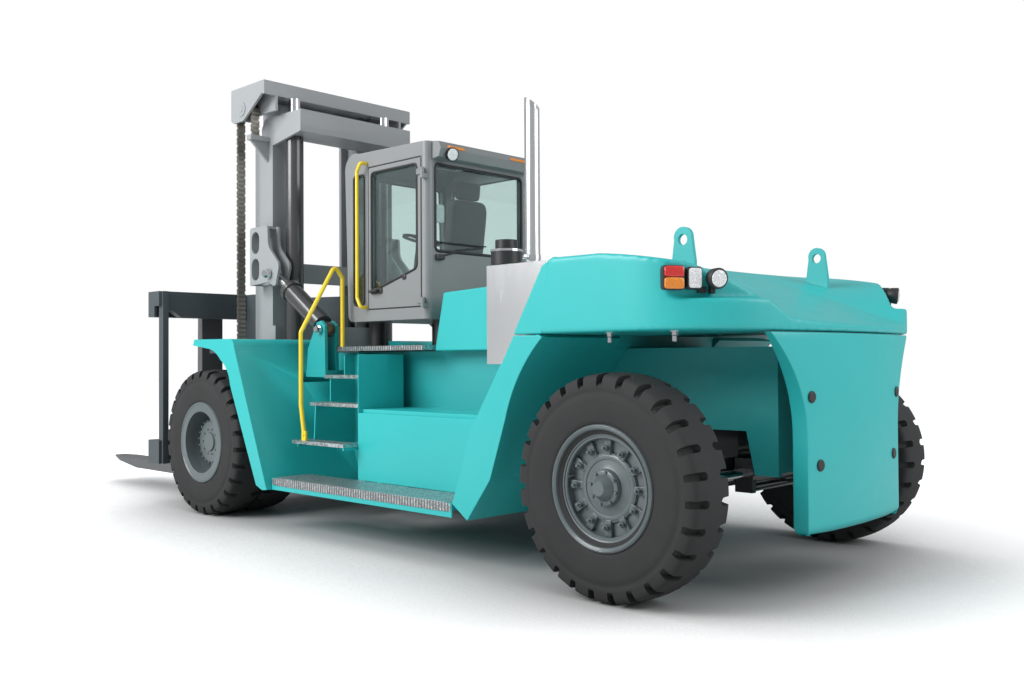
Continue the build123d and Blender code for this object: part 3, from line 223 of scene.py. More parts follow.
# %% [markdown]
# Paint on a machine like this is a thick two-part coat: even in colour, glossy, with a faint orange
# peel that only shows in reflections. A clear coat over a coloured base gives that gloss, fine noise
# gives the peel, and a broad slow noise keeps large panels from looking like flat cards.

# %% Finishes: paint


def shader(name, colour, rough, metal=0.0, coat=0.0, coat_rough=0.1):
    """A material with one Principled shader, its tree and its Object coordinates."""
    made = bpy.data.materials.new(name)
    made.use_nodes = True
    tree = made.node_tree
    body = tree.nodes["Principled BSDF"]
    body.inputs["Base Color"].default_value = (*colour, 1)
    body.inputs["Roughness"].default_value = rough
    body.inputs["Metallic"].default_value = metal
    body.inputs["Coat Weight"].default_value = coat
    body.inputs["Coat Roughness"].default_value = coat_rough
    place = tree.nodes.new("ShaderNodeTexCoord").outputs["Object"]
    return made, tree, body, place


def noise(tree, place, scale, detail=3.0):
    """Noise over the object's own coordinates, as a grey value."""
    made = wire(tree, "ShaderNodeTexNoise", Vector=place, Scale=scale, Detail=detail)
    return made.outputs["Fac"]


def remap(tree, value, low, high):
    """Spread a 0 to 1 value over a new range."""
    made = wire(tree, "ShaderNodeMapRange", Value=value)
    made.inputs["To Min"].default_value = low
    made.inputs["To Max"].default_value = high
    return made.outputs["Result"]


def tint(tree, body, colour, value, low, high):
    """Make the shader's colour lighter and darker by a value, between two factors."""
    mixed = tree.nodes.new("ShaderNodeMix")
    mixed.data_type = "RGBA"
    tree.links.new(value, mixed.inputs["Factor"])
    mixed.inputs["A"].default_value = (*[c * low for c in colour], 1)
    mixed.inputs["B"].default_value = (*[min(c * high, 1.0) for c in colour], 1)
    tree.links.new(mixed.outputs["Result"], body.inputs["Base Color"])


def roughen(tree, body, value, low, high):
    """Let the shader's roughness follow a value, between two limits."""
    tree.links.new(remap(tree, value, low, high), body.inputs["Roughness"])


def bumped(tree, body, height, distance):
    """Tilt the shader's normal by a height in metres."""
    made = wire(tree, "ShaderNodeBump", Height=height, Distance=distance, Strength=1.0)
    tree.links.new(made.outputs["Normal"], body.inputs["Normal"])


def paint(name, colour, rough, coat, peel=0.0004, vary=0.06):
    """Painted metal: broad tone changes, a glossy coat and a faint orange peel."""
    made, tree, body, place = shader(name, colour, rough, coat=coat, coat_rough=0.12)
    tint(tree, body, colour, noise(tree, place, 1.3), 1 - vary, 1 + vary)
    roughen(tree, body, noise(tree, place, 9.0), rough * 0.85, rough * 1.2)
    bumped(tree, body, noise(tree, place, 160.0, 2.0), peel)
    return made


PAINTS = {  # colour, roughness, weight of the clear coat, height of the peel
    "body_teal": ((0.020, 0.44, 0.44), 0.42, 0.12),
    "frame_teal": ((0.016, 0.34, 0.345), 0.45, 0.1),
    "mast_grey": ((0.30, 0.315, 0.325), 0.45, 0.15, 0.0006),
    "carriage_grey": ((0.055, 0.07, 0.078), 0.5, 0.1, 0.0008),
    "cab_grey": ((0.215, 0.225, 0.228), 0.42, 0.15, 0.0005),
    "axle_black": ((0.018, 0.018, 0.02), 0.45, 0.2),
    "rim_grey": ((0.095, 0.118, 0.124), 0.36, 0.25),
    "cylinder_grey": ((0.045, 0.045, 0.047), 0.22, 0.6, 0.0001),
    "rail_yellow": ((0.85, 0.62, 0.02), 0.35, 0.4),
    "fork_dark": ((0.10, 0.105, 0.108), 0.5, 0.1, 0.001),
    "engine_grey": ((0.12, 0.12, 0.125), 0.5, 0.1),
}
M = {name: paint(name, *values) for name, values in PAINTS.items()}  # every finish, by its name
print("paints", len(M))

# %% [markdown]
# Bare metal needs no colour noise, only a roughness that changes: rods are ground and polished,
# galvanised treads have crystals of zinc, and the exhaust is brushed stainless.

# %% Finishes: metal, rubber, plastic and glass


def metal(name, colour, rough, grain=(1, 1, 1), spread=0.35):
    """Bare metal whose roughness follows a noise stretched along the grain."""
    made, tree, body, place = shader(name, colour, rough, metal=1.0)
    stretch = wire(tree, "ShaderNodeMapping", Vector=place)
    stretch.inputs["Scale"].default_value = grain
    streaks = noise(tree, stretch.outputs[0], 40.0, 4.0)
    roughen(tree, body, streaks, rough * (1 - spread), rough * (1 + spread))
    bumped(tree, body, streaks, 0.00001)
    return made


def galvanised(name, colour):
    """Hot-dipped zinc: flat crystals, each its own tone and gloss, with punched holes painted dark as the shade
    inside them.
    """
    made, tree, body, place = shader(name, colour, 0.4, metal=0.85)
    cells = wire(tree, "ShaderNodeTexVoronoi", Vector=place, Scale=70.0)
    dots = wire(tree, "ShaderNodeTexVoronoi", Vector=place, Scale=32.0, Randomness=0.0)
    dots.voronoi_dimensions = "2D"
    # the holes take the darkest tone: painted shade where the tray below them lies in shadow
    sheet = maths(tree, "GREATER_THAN", dots.outputs["Distance"], 0.26)
    tint(tree, body, colour, maths(tree, "MULTIPLY", sheet, cells.outputs["Color"]), 0.32, 1.3)
    roughen(tree, body, cells.outputs["Distance"], 0.3, 0.55)
    return made


def rubber(name, colour):
    """Tyre rubber: dull, slightly dusty, with a fine moulded grain."""
    made, tree, body, place = shader(name, colour, 0.78)
    tint(tree, body, colour, noise(tree, place, 6.0, 6.0), 0.8, 1.35)
    bumped(tree, body, noise(tree, place, 220.0, 4.0), 0.001)
    return made


def plastic(name, colour, rough):
    """Moulded plastic with a fine leather-like grain."""
    made, tree, body, place = shader(name, colour, rough)
    tint(tree, body, colour, noise(tree, place, 4.0), 0.9, 1.15)
    bumped(tree, body, noise(tree, place, 300.0, 2.0), 0.0006)
    return made


def cloth(name, colour):
    """Woven seat cloth: one fine, slightly bent wave and a soft sheen."""
    made, tree, body, place = shader(name, colour, 0.9)
    body.inputs["Sheen Weight"].default_value = 0.3
    weave = wire(tree, "ShaderNodeTexWave", Vector=place, Scale=180.0, Distortion=1.0)
    tint(tree, body, colour, weave.outputs["Fac"], 0.8, 1.3)
    bumped(tree, body, weave.outputs["Fac"], 0.0008)
    return made


def tinted_glass(name, colour):
    """Thin green glass: mostly see-through, with a mirror coat that shows at glancing angles."""
    made, tree, body, _ = shader(name, colour, 0.03)
    clear = wire(tree, "ShaderNodeBsdfTransparent", Color=(0.88, 0.945, 0.935, 1))
    gloss = wire(tree, "ShaderNodeBsdfGlossy", Color=(0.9, 0.97, 0.95, 1), Roughness=0.02)
    edge = wire(tree, "ShaderNodeLayerWeight", Blend=0.35)
    film = wire(tree, "ShaderNodeMixShader", remap(tree, edge.outputs["Facing"], 0.03, 0.40), clear.outputs[0],
                gloss.outputs[0])
    final = next(n for n in tree.nodes if n.type == "OUTPUT_MATERIAL")
    tree.links.new(film.outputs[0], final.inputs["Surface"])
    tree.nodes.remove(body)
    return made


for make, name, *values in (
        (metal, "rod_chrome", (0.75, 0.75, 0.76), 0.12),
        (metal, "chain_steel", (0.30, 0.28, 0.25), 0.35),
        (metal, "stack_steel", (0.74, 0.745, 0.75), 0.26, (1, 1, 0.1), 0.12),
        (galvanised, "galvanised", (0.55, 0.57, 0.58)),
        (rubber, "tyre", (0.017, 0.017, 0.0175)),
        (plastic, "trim_black", (0.02, 0.02, 0.021), 0.5),
        (plastic, "cleaner_black", (0.018, 0.018, 0.02), 0.35),
        (cloth, "seat_cloth", (0.03, 0.03, 0.034)),
        (tinted_glass, "glass_green", (0.45, 0.6, 0.55))):
    M[name] = make(name, *values)
print("finishes", len(M))

# %% [markdown]
# Every solid that keeps its shape gets its finish here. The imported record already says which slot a
# node belongs to, so one loop dresses all of them.

# %% Finishes on the solids
SLOT_OF = {entry["node"]: entry["material_slot"] for entry in frame["record"]["subparts"]}
for node, slot in SLOT_OF.items():
    mesh = NODES[node].data
    mesh.materials.clear()
    mesh.materials.append(M[slot])
print("dressed", len(SLOT_OF), "nodes")

# %% [markdown]
# Sheet metal has no razor edges: every fold catches the light along a narrow line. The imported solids
# are sharp, so the large painted ones are shown by a copy whose edges are rounded. Their triangles
# are first welded and flat groups made whole, because a bevel needs real corners to work on.

# %% Rounded edges on the painted solids
EDGE_TURN = np.radians(28)  # folds that turn by less than this stay as they are


def welded_copy(node, suffix, flatten=False):
    """A welded copy of a solid, on its body and in its place; flatten makes its flat faces whole."""
    mesh = NODES[node].data.copy()
    work = bmesh.new()
    work.from_mesh(mesh)
    bmesh.ops.remove_doubles(work, verts=work.verts, dist=2e-5)
    if flatten:
        bmesh.ops.dissolve_limit(work, angle_limit=np.radians(0.6), verts=work.verts, edges=work.edges)
    work.to_mesh(mesh)
    work.free()
    made = stand(node + suffix, mesh)
    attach(made, BODY_OF[node])
    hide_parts(node)
    return made


def bevelled(made, width):
    """Round an object's corners with a bevel."""
    edges = made.modifiers.new("edges", "BEVEL")
    edges.width = width
    edges.segments = 3
    edges.limit_method = "ANGLE"
    edges.angle_limit = EDGE_TURN
    edges.harden_normals = True
    return edges


EDGE_WIDTHS = {
    "front_fenders": 0.014, "rear_body_sides": 0.014, "side_tanks": 0.010, "engine_cover": 0.016,
    "cab_shell": 0.008, "cab_door": 0.004, "lifting_eyes": 0.005, "step_brackets": 0.003,
    "running_boards": 0.003, "outer_mast": 0.005, "inner_mast": 0.005,
    "carriage": 0.005, "fork_left": 0.012, "fork_right": 0.012, "chassis_frame": 0.005, "steer_axle": 0.008,
}
for node, width in EDGE_WIDTHS.items():
    made = welded_copy(node, "_rounded", flatten=True)
    made.data.shade_smooth()
    made.data.set_sharp_from_angle(angle=EDGE_TURN)
    bevelled(made, width).miter_outer = "MITER_ARC"
print("rounded", len(EDGE_WIDTHS), "solids")

# %% [markdown]
# The hood is pressed from thick sheet, so every edge of it is a wide, even round. Bevels collide where
# the lamp pockets cut in. Building the form again from small cells and relaxing them rounds all edges
# alike, while flat faces stay flat.

# %% Pressed hood
HOOD_CELL = 0.014  # edge of the cells that the hood is rebuilt from
HOOD_PASSES = 7  # rounds of relaxing; more make the edges rounder
hood = welded_copy("rear_hood", "_pressed")
cells = hood.modifiers.new("cells", "REMESH")
cells.mode = "VOXEL"
cells.voxel_size = HOOD_CELL
cells.use_smooth_shade = True
relaxed = hood.modifiers.new("relaxed", "SMOOTH")
relaxed.factor = 0.5
relaxed.iterations = HOOD_PASSES
print("hood rebuilt from cells of", HOOD_CELL, "m")

# %% [markdown]
# The tyres are cross-ply industrial tyres: a smooth crown with deep U-shaped grooves cut in from each
# shoulder. They could be a torus with boolean cuts, but two matching cross-sections are cleaner: one
# over a lug, one down in a groove. A weight that changes round the wheel turns one into the other, and
# the samples crowd at the groove's walls, so they stay steep with few faces.

# %% Tyre surface
TYRE_R = 0.685
TYRE_LUGS = 27
GROOVE_HALF = np.radians(2.1)  # half the angle of a groove at the shoulder
LUG_SECTION = np.array([
    (0.120, 0.314), (0.148, 0.322), (0.158, 0.345), (0.161, 0.372), (0.166, 0.386), (0.171, 0.392), (0.173, 0.412),
    (0.1775, 0.440), (0.1805, 0.475), (0.1815, 0.520), (0.1812, 0.556), (0.1790, 0.560), (0.1785, 0.582),
    (0.1800, 0.586), (0.1795, 0.604), (0.1770, 0.630), (0.1720, 0.650), (0.1640, 0.664), (0.1500, 0.673),
    (0.1250, 0.678), (0.1000, 0.681), (0.0780, 0.683), (0.0600, 0.684), (0.0300, 0.6848), (0.0000, 0.685),
])
GROOVE_DEPTHS = np.array([0] * 14 + [0.0, 0.026, 0.038, 0.046, 0.050, 0.049, 0.046, 0.042, 0.0, 0.0, 0.0])
GROOVE_WIDTHS = np.array([0] * 14 + [0.8, 1, 1, 1, 1, 1, 1, 0.94, 0.25, 0, 0])


def tyre_surface():
    """Rows go round the wheel, columns across it: radius = lug section - groove depth x weight."""
    right = LUG_SECTION[::-1][1:] * (-1, 1)
    section = np.concatenate([LUG_SECTION, right])
    depth = np.concatenate([GROOVE_DEPTHS, GROOVE_DEPTHS[::-1][1:]])
    width = np.concatenate([GROOVE_WIDTHS, GROOVE_WIDTHS[::-1][1:]]) * GROOVE_HALF
    half_pitch = np.pi / TYRE_LUGS
    inside = np.array([0.0, 0.50, 0.90, 1.0])  # samples from a groove's middle to its wall
    outside = np.array([0.10, 0.45, 1.0])  # samples from the wall to the lug's middle
    weight = np.array([1.0, 1.0, 0.95, 0.0, 0.0, 0.0, 0.0])  # how much of the groove's depth each one takes
    least = np.maximum(width, 0.15 * GROOVE_HALF)[None, :]
    half = np.concatenate([inside[:, None] * least, least + outside[:, None] * (half_pitch - least)])
    turn = np.concatenate([-half[::-1], half[1:-1]])
    load = np.concatenate([weight[::-1], weight[1:-1]])
    place = 1.5 * np.pi + (np.arange(TYRE_LUGS)[:, None, None] + 0.5) * 2 * half_pitch
    angle = (place + turn[None]).reshape(-1, section.shape[0])
    drop = np.tile(load, TYRE_LUGS)[:, None] * depth[None, :]
    radius = section[None, :, 1] - drop
    across = section[None, :, 0] * (1 - 0.35 * drop)
    points = np.stack([radius * np.cos(angle), across, radius * np.sin(angle)], axis=-1)
    rows, cols = angle.shape
    return points.reshape(-1, 3), quads(rows, cols, wrap_rows=True, wrap_cols=True)


print("tyre", len(tyre_surface()[1]), "faces")

# %% [markdown]
# One tyre serves all six places: a single one on each steered wheel, and two side by side on each
# drive wheel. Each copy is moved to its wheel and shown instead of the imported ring.

# %% Tyres in place
REAR_Y = 1.382  # middle of the steered wheels
FRONT_X, FRONT_OUTER_Y, FRONT_INNER_Y = 1.221, 1.262, 0.892  # the drive axle and its pairs of wheels
WHEELS = {
    "rear_tyre": [(FRAME_X, REAR_Y)],
    "front_tyres": [(FRONT_X, FRONT_OUTER_Y), (FRONT_X, FRONT_INNER_Y)],
}
tyre_points, tyre_faces = tyre_surface()
for name, places in WHEELS.items():
    for side, s in SIDES:
        copies = [(tyre_points + (x, s * y, TYRE_R), tyre_faces) for x, y in places]
        made = piece(f"{name}_{side}_rubber", joined(*copies), "tyre", BODY_OF[f"{name}_{side}"], sharp=38)
        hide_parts(f"{name}_{side}")
print("tyres on", len(WHEELS), "axles")

# %% [markdown]
# Round fittings are all surfaces of revolution: a section of (height, radius) points turned about an
# axis. A hexagon nut is the same surface with six steps, and its welded pole closes the top.

# %% Turned parts and fasteners


def turned(section, steps=32, ring=False):
    """A section of (height, radius) points turned about Z: x = r cos, y = r sin, z = height."""
    section = np.asarray(section, dtype=float)
    angle = np.arange(steps)[:, None] * 2 * np.pi / steps
    radius, height = section[None, :, 1], section[None, :, 0]
    points = np.stack([radius * np.cos(angle), radius * np.sin(angle), height + 0 * angle], axis=-1)
    return points.reshape(-1, 3), quads(steps, len(section), wrap_rows=True, wrap_cols=ring)


def aimed(places, towards):
    """Matrices that carry local Z to a direction and the origin to each place."""
    turn = Vector(towards).to_track_quat("Z", "X").to_matrix().to_4x4()
    return np.array([Matrix.Translation(p) @ turn for p in np.asarray(places, dtype=float).tolist()])


def bolt(size):
    """A washer with a chamfered hexagon head on it, sized by the head's width."""
    half = size / 2
    washer = turned([(0, 0), (0, half * 1.35), (size * 0.12, half * 1.35), (size * 0.12, 0)], 16)
    head = turned([(size * 0.12, 0), (size * 0.12, half * 1.08), (size * 0.62, half * 1.08),
                   (size * 0.72, half * 0.88), (size * 0.72, 0)], 6)
    return joined(washer, head)


def ring_places(centre, radius, count, start=0.0):
    """Points evenly spaced on a circle about the Y axis through a centre."""
    angle = start + np.arange(count) * 2 * np.pi / count
    return np.stack([centre[0] + radius * np.cos(angle), np.full(count, centre[1]),
                     centre[2] + radius * np.sin(angle)], axis=-1)


def lathe(section, steps, at, towards=(0, 0, 1), ring=False):
    """A turned section that stands at a place and points in a direction."""
    return repeated(*turned(section, steps, ring), aimed([at], towards))


print("bolt", len(bolt(0.02)[1]), "faces")

# %% [markdown]
# Boxes with rounded edges serve for housings, pads and brackets. The formula pushes a sphere's grid
# out towards a box: a high power gives tight corners, a low one a cushion.

# %% Soft boxes


def soft_box(low, high, power=8.0, steps=10):
    """A sphere's grid stretched to a box: sign(c)|c|^(2/power) of the sphere's own cosines and sines."""
    low, high = np.asarray(low, dtype=float), np.asarray(high, dtype=float)
    up = np.linspace(-np.pi / 2, np.pi / 2, steps + 1)[:, None]
    turn = np.arange(2 * steps)[None, :] * np.pi / steps + np.pi / (2 * steps)

    def bent(value):
        return np.sign(value) * np.abs(value) ** (2 / power)

    unit = np.stack([bent(np.cos(up)) * bent(np.cos(turn)), bent(np.cos(up)) * bent(np.sin(turn)),
                     bent(np.sin(up)) + 0 * turn], axis=-1)
    points = (low + high) / 2 + unit * (high - low) / 2
    return points.reshape(-1, 3), quads(steps + 1, 2 * steps, wrap_cols=True)


print("soft box", len(soft_box((0, 0, 0), (1, 1, 1))[1]), "faces")

# %% [markdown]
# The rear rim is a demountable one: twelve wedges are drawn under the rim by studs and nuts, and the
# hub cap has its own ring of small bolts. A lock ring lies in the gutter of the rim.

# %% Rear rim fittings
RIM_SECTION = [  # (axial place, radius): flange, stepped rings, wedge seat, disc, hub, back of the disc, barrel
    (0.175, 0.375), (0.181, 0.368), (0.176, 0.358), (0.158, 0.352), (0.150, 0.345), (0.153, 0.338),
    (0.146, 0.331), (0.126, 0.327), (0.118, 0.320), (0.121, 0.313), (0.111, 0.306), (0.090, 0.301),
    (0.080, 0.296), (0.078, 0.212), (0.096, 0.206), (0.097, 0.166), (0.112, 0.114), (0.130, 0.110),
    (0.130, 0.056), (-0.060, 0.056), (-0.060, 0.160), (0.040, 0.200), (0.040, 0.289), (-0.175, 0.289),
    (-0.175, 0.375), (-0.160, 0.375), (-0.140, 0.311), (0.140, 0.311), (0.160, 0.372)]
CLAMPS = 12
CLAMP_IN, CLAMP_OUT = 0.190, 0.299  # a clamp's ends, as radii
NUT_CIRCLE = 0.236
CAP_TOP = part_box("rear_rim_left")[1].y - REAR_Y  # how far the hub cap stands out from the wheel's middle
LOCK_RING = [(0.150, 0.352), (0.158, 0.346), (0.172, 0.350), (0.180, 0.362), (0.177, 0.376), (0.164, 0.381),
             (0.152, 0.372)]


def clamp(hub, s, angle):
    """A wedge clamp: a soft box in (radius, sideways, outward), narrower to the hub, turned to its angle."""
    points, faces = soft_box((CLAMP_IN, -0.028, 0.070), (CLAMP_OUT, 0.028, 0.104), 9.0, 8)
    radius, sideways, outward = points.T
    sideways = sideways * (0.80 + 0.20 * (radius - CLAMP_IN) / (CLAMP_OUT - CLAMP_IN))
    x = radius * np.cos(angle) - sideways * np.sin(angle)
    z = radius * np.sin(angle) + sideways * np.cos(angle)
    return np.column_stack([hub[0] + x, hub[1] + s * outward, hub[2] + z]), faces


def on_hub(hub, section, steps=72, ring=True):
    """A section turned about a wheel's own axis, heights counted outward from the wheel's middle."""
    return lathe(section, steps, hub, (0, np.sign(hub[1]), 0), ring)


def hub_bolts(hub, shape, height, radius, count, start=0.0):
    """A ring of equal fasteners round a hub, at a height outward from the wheel's middle."""
    s = np.sign(hub[1])
    places = ring_places((hub[0], hub[1] + s * height, hub[2]), radius, count, start)
    return repeated(*shape, aimed(places, (0, s, 0)))


HUB_CAP = [(0.1295, 0), (0.1295, 0.108), (0.140, 0.105), (0.144, 0.099), (0.144, 0.080), (0.150, 0.076),
           (CAP_TOP - 0.004, 0.047), (CAP_TOP, 0.042), (CAP_TOP, 0)]
STUD = turned([(0, 0), (0, 0.009), (0.020, 0.009), (0.022, 0.006), (0.022, 0)], 10)
LIP_RING = [(0.118, 0.298), (0.126, 0.292), (0.134, 0.298), (0.134, 0.312), (0.118, 0.312)]
STEP_RING = [(0.086, 0.172), (0.101, 0.168), (0.104, 0.178), (0.104, 0.190), (0.098, 0.200), (0.086, 0.202)]
VALVE = [(0.06, 0), (0.06, 0.007), (0.12, 0.007), (0.125, 0.004), (0.14, 0.004), (0.14, 0)]
for side, s in SIDES:
    node = f"rear_rim_{side}"
    hub = (FRAME_X, s * REAR_Y, TYRE_R)
    made = piece(f"rear_rim_turned_{side}", on_hub(hub, RIM_SECTION), "rim_grey", BODY_OF[node], sharp=28)
    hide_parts(node)
    wedges = [clamp(hub, s, np.pi / 2 + k * 2 * np.pi / CLAMPS) for k in range(CLAMPS)]
    made = piece(f"rear_rim_clamps_{side}", joined(*wedges, on_hub(hub, HUB_CAP, 48, False)), "rim_grey",
                 BODY_OF[node])
    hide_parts(node)
    valve_at = (hub[0] + 0.27, hub[1], hub[2] + 0.05)
    fittings = [hub_bolts(hub, bolt(0.036), 0.105, NUT_CIRCLE, CLAMPS),
                hub_bolts(hub, bolt(0.019), 0.141, 0.096, 8, 0.2), hub_bolts(hub, STUD, 0.130, NUT_CIRCLE, CLAMPS),
                on_hub(hub, LOCK_RING), on_hub(hub, LIP_RING),
                on_hub(hub, STEP_RING, 60), on_hub(valve_at, VALVE, 10, False)]
    piece(f"rear_rim_fittings_{side}", joined(*fittings), "rim_grey", BODY_OF[node])

# %% [markdown]
# The front wheels carry the load, so their outer rim is a deep dish, bolted down inside it. The drive
# hub stands in the middle with two rings of bolts of its own.

# %% Front rim fittings
FRONT_HUB_Y = (FRONT_OUTER_Y + FRONT_INNER_Y) / 2
DISH_SECTION = [(0.150, 0.300), (0.120, 0.296), (0.040, 0.286), (-0.020, 0.276), (-0.034, 0.262), (-0.034, 0.238),
                (-0.050, 0.236), (-0.055, 0.29), (0.10, 0.304), (0.15, 0.310)]
for side, s in SIDES:
    hub = (FRONT_X, s * FRONT_HUB_Y, TYRE_R)
    outer = (FRONT_X, s * FRONT_OUTER_Y, TYRE_R)
    fittings = [on_hub(outer, DISH_SECTION), hub_bolts(outer, bolt(0.022), -0.033, 0.250, 20),
                hub_bolts(hub, bolt(0.020), 0.256, 0.200, 20, 0.1), hub_bolts(hub, bolt(0.014), 0.262, 0.120, 10),
                on_hub(outer, LOCK_RING)]
    piece(f"front_rim_fittings_{side}", joined(*fittings), "rim_grey", BODY_OF[f"front_hub_{side}"])

# %% [markdown]
# Flat things cut from plate are an outline in the side view, carried across by the plate's thickness.
# Each end is closed on the outline's middle, so the same grid of faces serves for all of them.

# %% Outlines carried across


def on_side(flat, y):
    """Lay (x, z) points at one y."""
    return np.stack([flat[:, 0], np.full(len(flat), y), flat[:, 1]], axis=-1)


def carried(outline, y0, y1):
    """A convex side outline of (x, z) points carried from y0 to y1, each end closed on its middle."""
    line = np.asarray(outline, dtype=float)
    middle = np.repeat(line.mean(0)[None], len(line), 0)
    rows = [on_side(middle, y0), on_side(line, y0), on_side(line, y1), on_side(middle, y1)]
    return np.concatenate(rows), quads(4, len(line), wrap_cols=True)


print("carried", len(carried([(0, 0), (1, 0), (1, 1)], 0, 1)[1]), "faces")

# %% [markdown]
# A leaf chain is packs of flat figure-eight plates on pins. Each plate's outline is two circles joined
# by a waist; two sets of plates alternate from pitch to pitch.
# The strand shortens as the mast rises; here each strand is drawn at one length and rides on no body.

# %% Leaf chains
PLATE_THICK = 0.0075
PLATE_LEAVES = 6
PLATE_CLOSE = 0.92  # plates of one set stand this much of two thicknesses apart
PLATE_RADIUS, PLATE_WAIST = 0.0155, 0.010
CHAIN_PITCH = 0.045
CHAIN_Y, CHAIN_HALF = 0.845, 0.042  # middle of a strand, and half its width


def plate_outline(pitch, radius, waist, steps=7):
    """Half circles about both pins, with the waist's two points between: the closed outline of one plate."""
    up = np.linspace(0, np.pi, steps)
    top = np.stack([radius * np.cos(up), pitch / 2 + radius * np.sin(up)], axis=-1)
    low = np.stack([-radius * np.cos(up), -pitch / 2 - radius * np.sin(up)], axis=-1)
    return np.concatenate([top, [(-waist, 0)], low, [(waist, 0)]])


def strand(x, y, low, top):
    """One chain strand: alternate sets of plates up the height, and a pin at every joint."""
    pitches = round((top - low) / CHAIN_PITCH)
    pitch = (top - low) / pitches
    one = carried(plate_outline(pitch, PLATE_RADIUS, PLATE_WAIST), -PLATE_THICK / 2, PLATE_THICK / 2)
    places = []
    for k in range(pitches):
        shift = (k % 2 - 0.5) * PLATE_THICK
        for leaf in range(PLATE_LEAVES):
            across = (leaf - (PLATE_LEAVES - 1) / 2) * 2 * PLATE_THICK * PLATE_CLOSE + shift
            if abs(across) < CHAIN_HALF - 0.0015:
                places.append(Matrix.Translation((x, y + across, low + (k + 0.5) * pitch)))
    pins = aimed([(x, y - CHAIN_HALF, low + k * pitch) for k in range(1, pitches)], (0, 1, 0))
    pin = turned([(0, 0), (0, 0.0065), (2 * CHAIN_HALF, 0.0065), (2 * CHAIN_HALF, 0)], 8)
    return joined(repeated(*one, np.array(places)), repeated(*pin, pins))


for node, near, far in (("chain_front_strands", "inner_mast", "carriage"),
                        ("chain_rear_strands", "outer_mast", "inner_mast")):
    low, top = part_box(node)
    middle = (low[0] + top[0]) / 2
    sides = [strand(middle, s * CHAIN_Y, low[2] + 0.004, top[2] - 0.004) for s in (1, -1)]
    made = piece(node + "_links", joined(*sides), "chain_steel", None)
    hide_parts(node)
    if node == "chain_front_strands":
        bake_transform(made)
    else:
        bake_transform(made)

# %% [markdown]
# Thin round things, such as window seals and the wiper's arms, are one profile carried along a path. At
# each point of the path the profile stands square to the direction of travel, and a closed path joins
# its last ring to its first.

# %% Tubes along a path


def tube(path, radius, steps=10, closed=False):
    """A circle carried along a polyline: point + radius (side cos a + over sin a), capped at open ends."""
    path = np.asarray(path, dtype=float)
    ahead = (np.roll(path, -1, 0) - np.roll(path, 1, 0)) if closed else np.gradient(path, axis=0)
    ahead /= np.linalg.norm(ahead, axis=1, keepdims=True)
    hint = np.where(np.abs(ahead[:, 2:3]) > 0.9, (1.0, 0, 0), (0, 0, 1.0))
    side = np.cross(ahead, hint)
    side /= np.linalg.norm(side, axis=1, keepdims=True)
    over = np.cross(side, ahead)
    angle = np.arange(steps) * 2 * np.pi / steps
    ring = np.cos(angle)[None, :, None] * side[:, None] + np.sin(angle)[None, :, None] * over[:, None]
    points = path[:, None] + radius * ring
    if not closed:
        ends = [np.repeat(path[:1, None], steps, 1), np.repeat(path[-1:, None], steps, 1)]
        points = np.concatenate([ends[0], points, ends[1]])
    return points.reshape(-1, 3), quads(len(points), steps, wrap_rows=closed, wrap_cols=True)


def rounded(a, b, c, d, corner, steps=6):
    """A rounded rectangle from a to b one way and from c to d the other, as (n, 2) points."""
    turns = np.linspace(0, np.pi / 2, steps)
    corners = [((b - corner, d - corner), 0), ((a + corner, d - corner), 1), ((a + corner, c + corner), 2),
               ((b - corner, c + corner), 3)]
    return np.concatenate([np.stack([x + corner * np.cos(turns + q * np.pi / 2),
                                     y + corner * np.sin(turns + q * np.pi / 2)], axis=-1)
                           for (x, y), q in corners])


def across(flat, x):
    """Lay (y, z) points at one x."""
    return np.stack([np.full(len(flat), x), flat[:, 0], flat[:, 1]], axis=-1)


print("round outline", len(rounded(0, 1, 0, 1, 0.1)), "points")

# %% [markdown]
# Every pane sits in a black rubber seal. The seal is a tube along the opening's own rounded outline,
# so it covers the joint between glass and metal from both sides.

# %% Window seals
CAB_BACK = FRAME_X + 2.620  # the cab's rear wall
CAB_SIDE_Y = 0.620
QUARTER = rounded(CAB_BACK + 0.860, CAB_BACK + 1.020, 1.950, 3.130, 0.035)
RIGHT = rounded(CAB_BACK + 0.100, CAB_BACK + 0.780, 2.250, 3.160, 0.035)
REAR = rounded(-0.530, 0.530, 2.380, 3.120, 0.035)
FRONT = rounded(-0.540, 0.540, 1.950, 3.150, 0.035)
ROOF = rounded(CAB_BACK + 0.180, CAB_BACK + 0.780, -0.420, 0.420, 0.035)
WINDSCREEN_X = CAB_BACK + 1.102 + 0.034 * (FRONT[:, 1] - 1.80)
SEALS = [(on_side(QUARTER, CAB_SIDE_Y), 0.009), (on_side(QUARTER, -CAB_SIDE_Y), 0.009),
         (on_side(RIGHT, -CAB_SIDE_Y), 0.011), (across(REAR, CAB_BACK), 0.013),
         (np.column_stack([WINDSCREEN_X, FRONT]), 0.012), (np.insert(ROOF, 2, 3.318, axis=1), 0.010)]
piece("cab_window_seals", joined(*[tube(path, radius, closed=True) for path, radius in SEALS]))
DOOR_BACK, DOOR_FRONT = CAB_BACK + 0.070, CAB_BACK + 0.810
door_glass = np.array([(DOOR_BACK + 0.060, 2.236), (DOOR_BACK + 0.060, 3.130), (DOOR_FRONT - 0.055, 3.130),
                       (DOOR_FRONT - 0.055, 2.060)])


def round_corners(outline, corner, steps=6):
    """Swap each corner of a closed outline for a quadratic curve between points a given way from it."""
    back = np.roll(outline, 1, 0) - outline
    ahead = np.roll(outline, -1, 0) - outline
    start = outline + corner * back / np.linalg.norm(back, axis=1, keepdims=True)
    end = outline + corner * ahead / np.linalg.norm(ahead, axis=1, keepdims=True)
    t = np.linspace(0, 1, steps)[None, :, None]
    curve = (1 - t) ** 2 * start[:, None] + 2 * t * (1 - t) * outline[:, None] + t ** 2 * end[:, None]
    return curve.reshape(-1, 2)


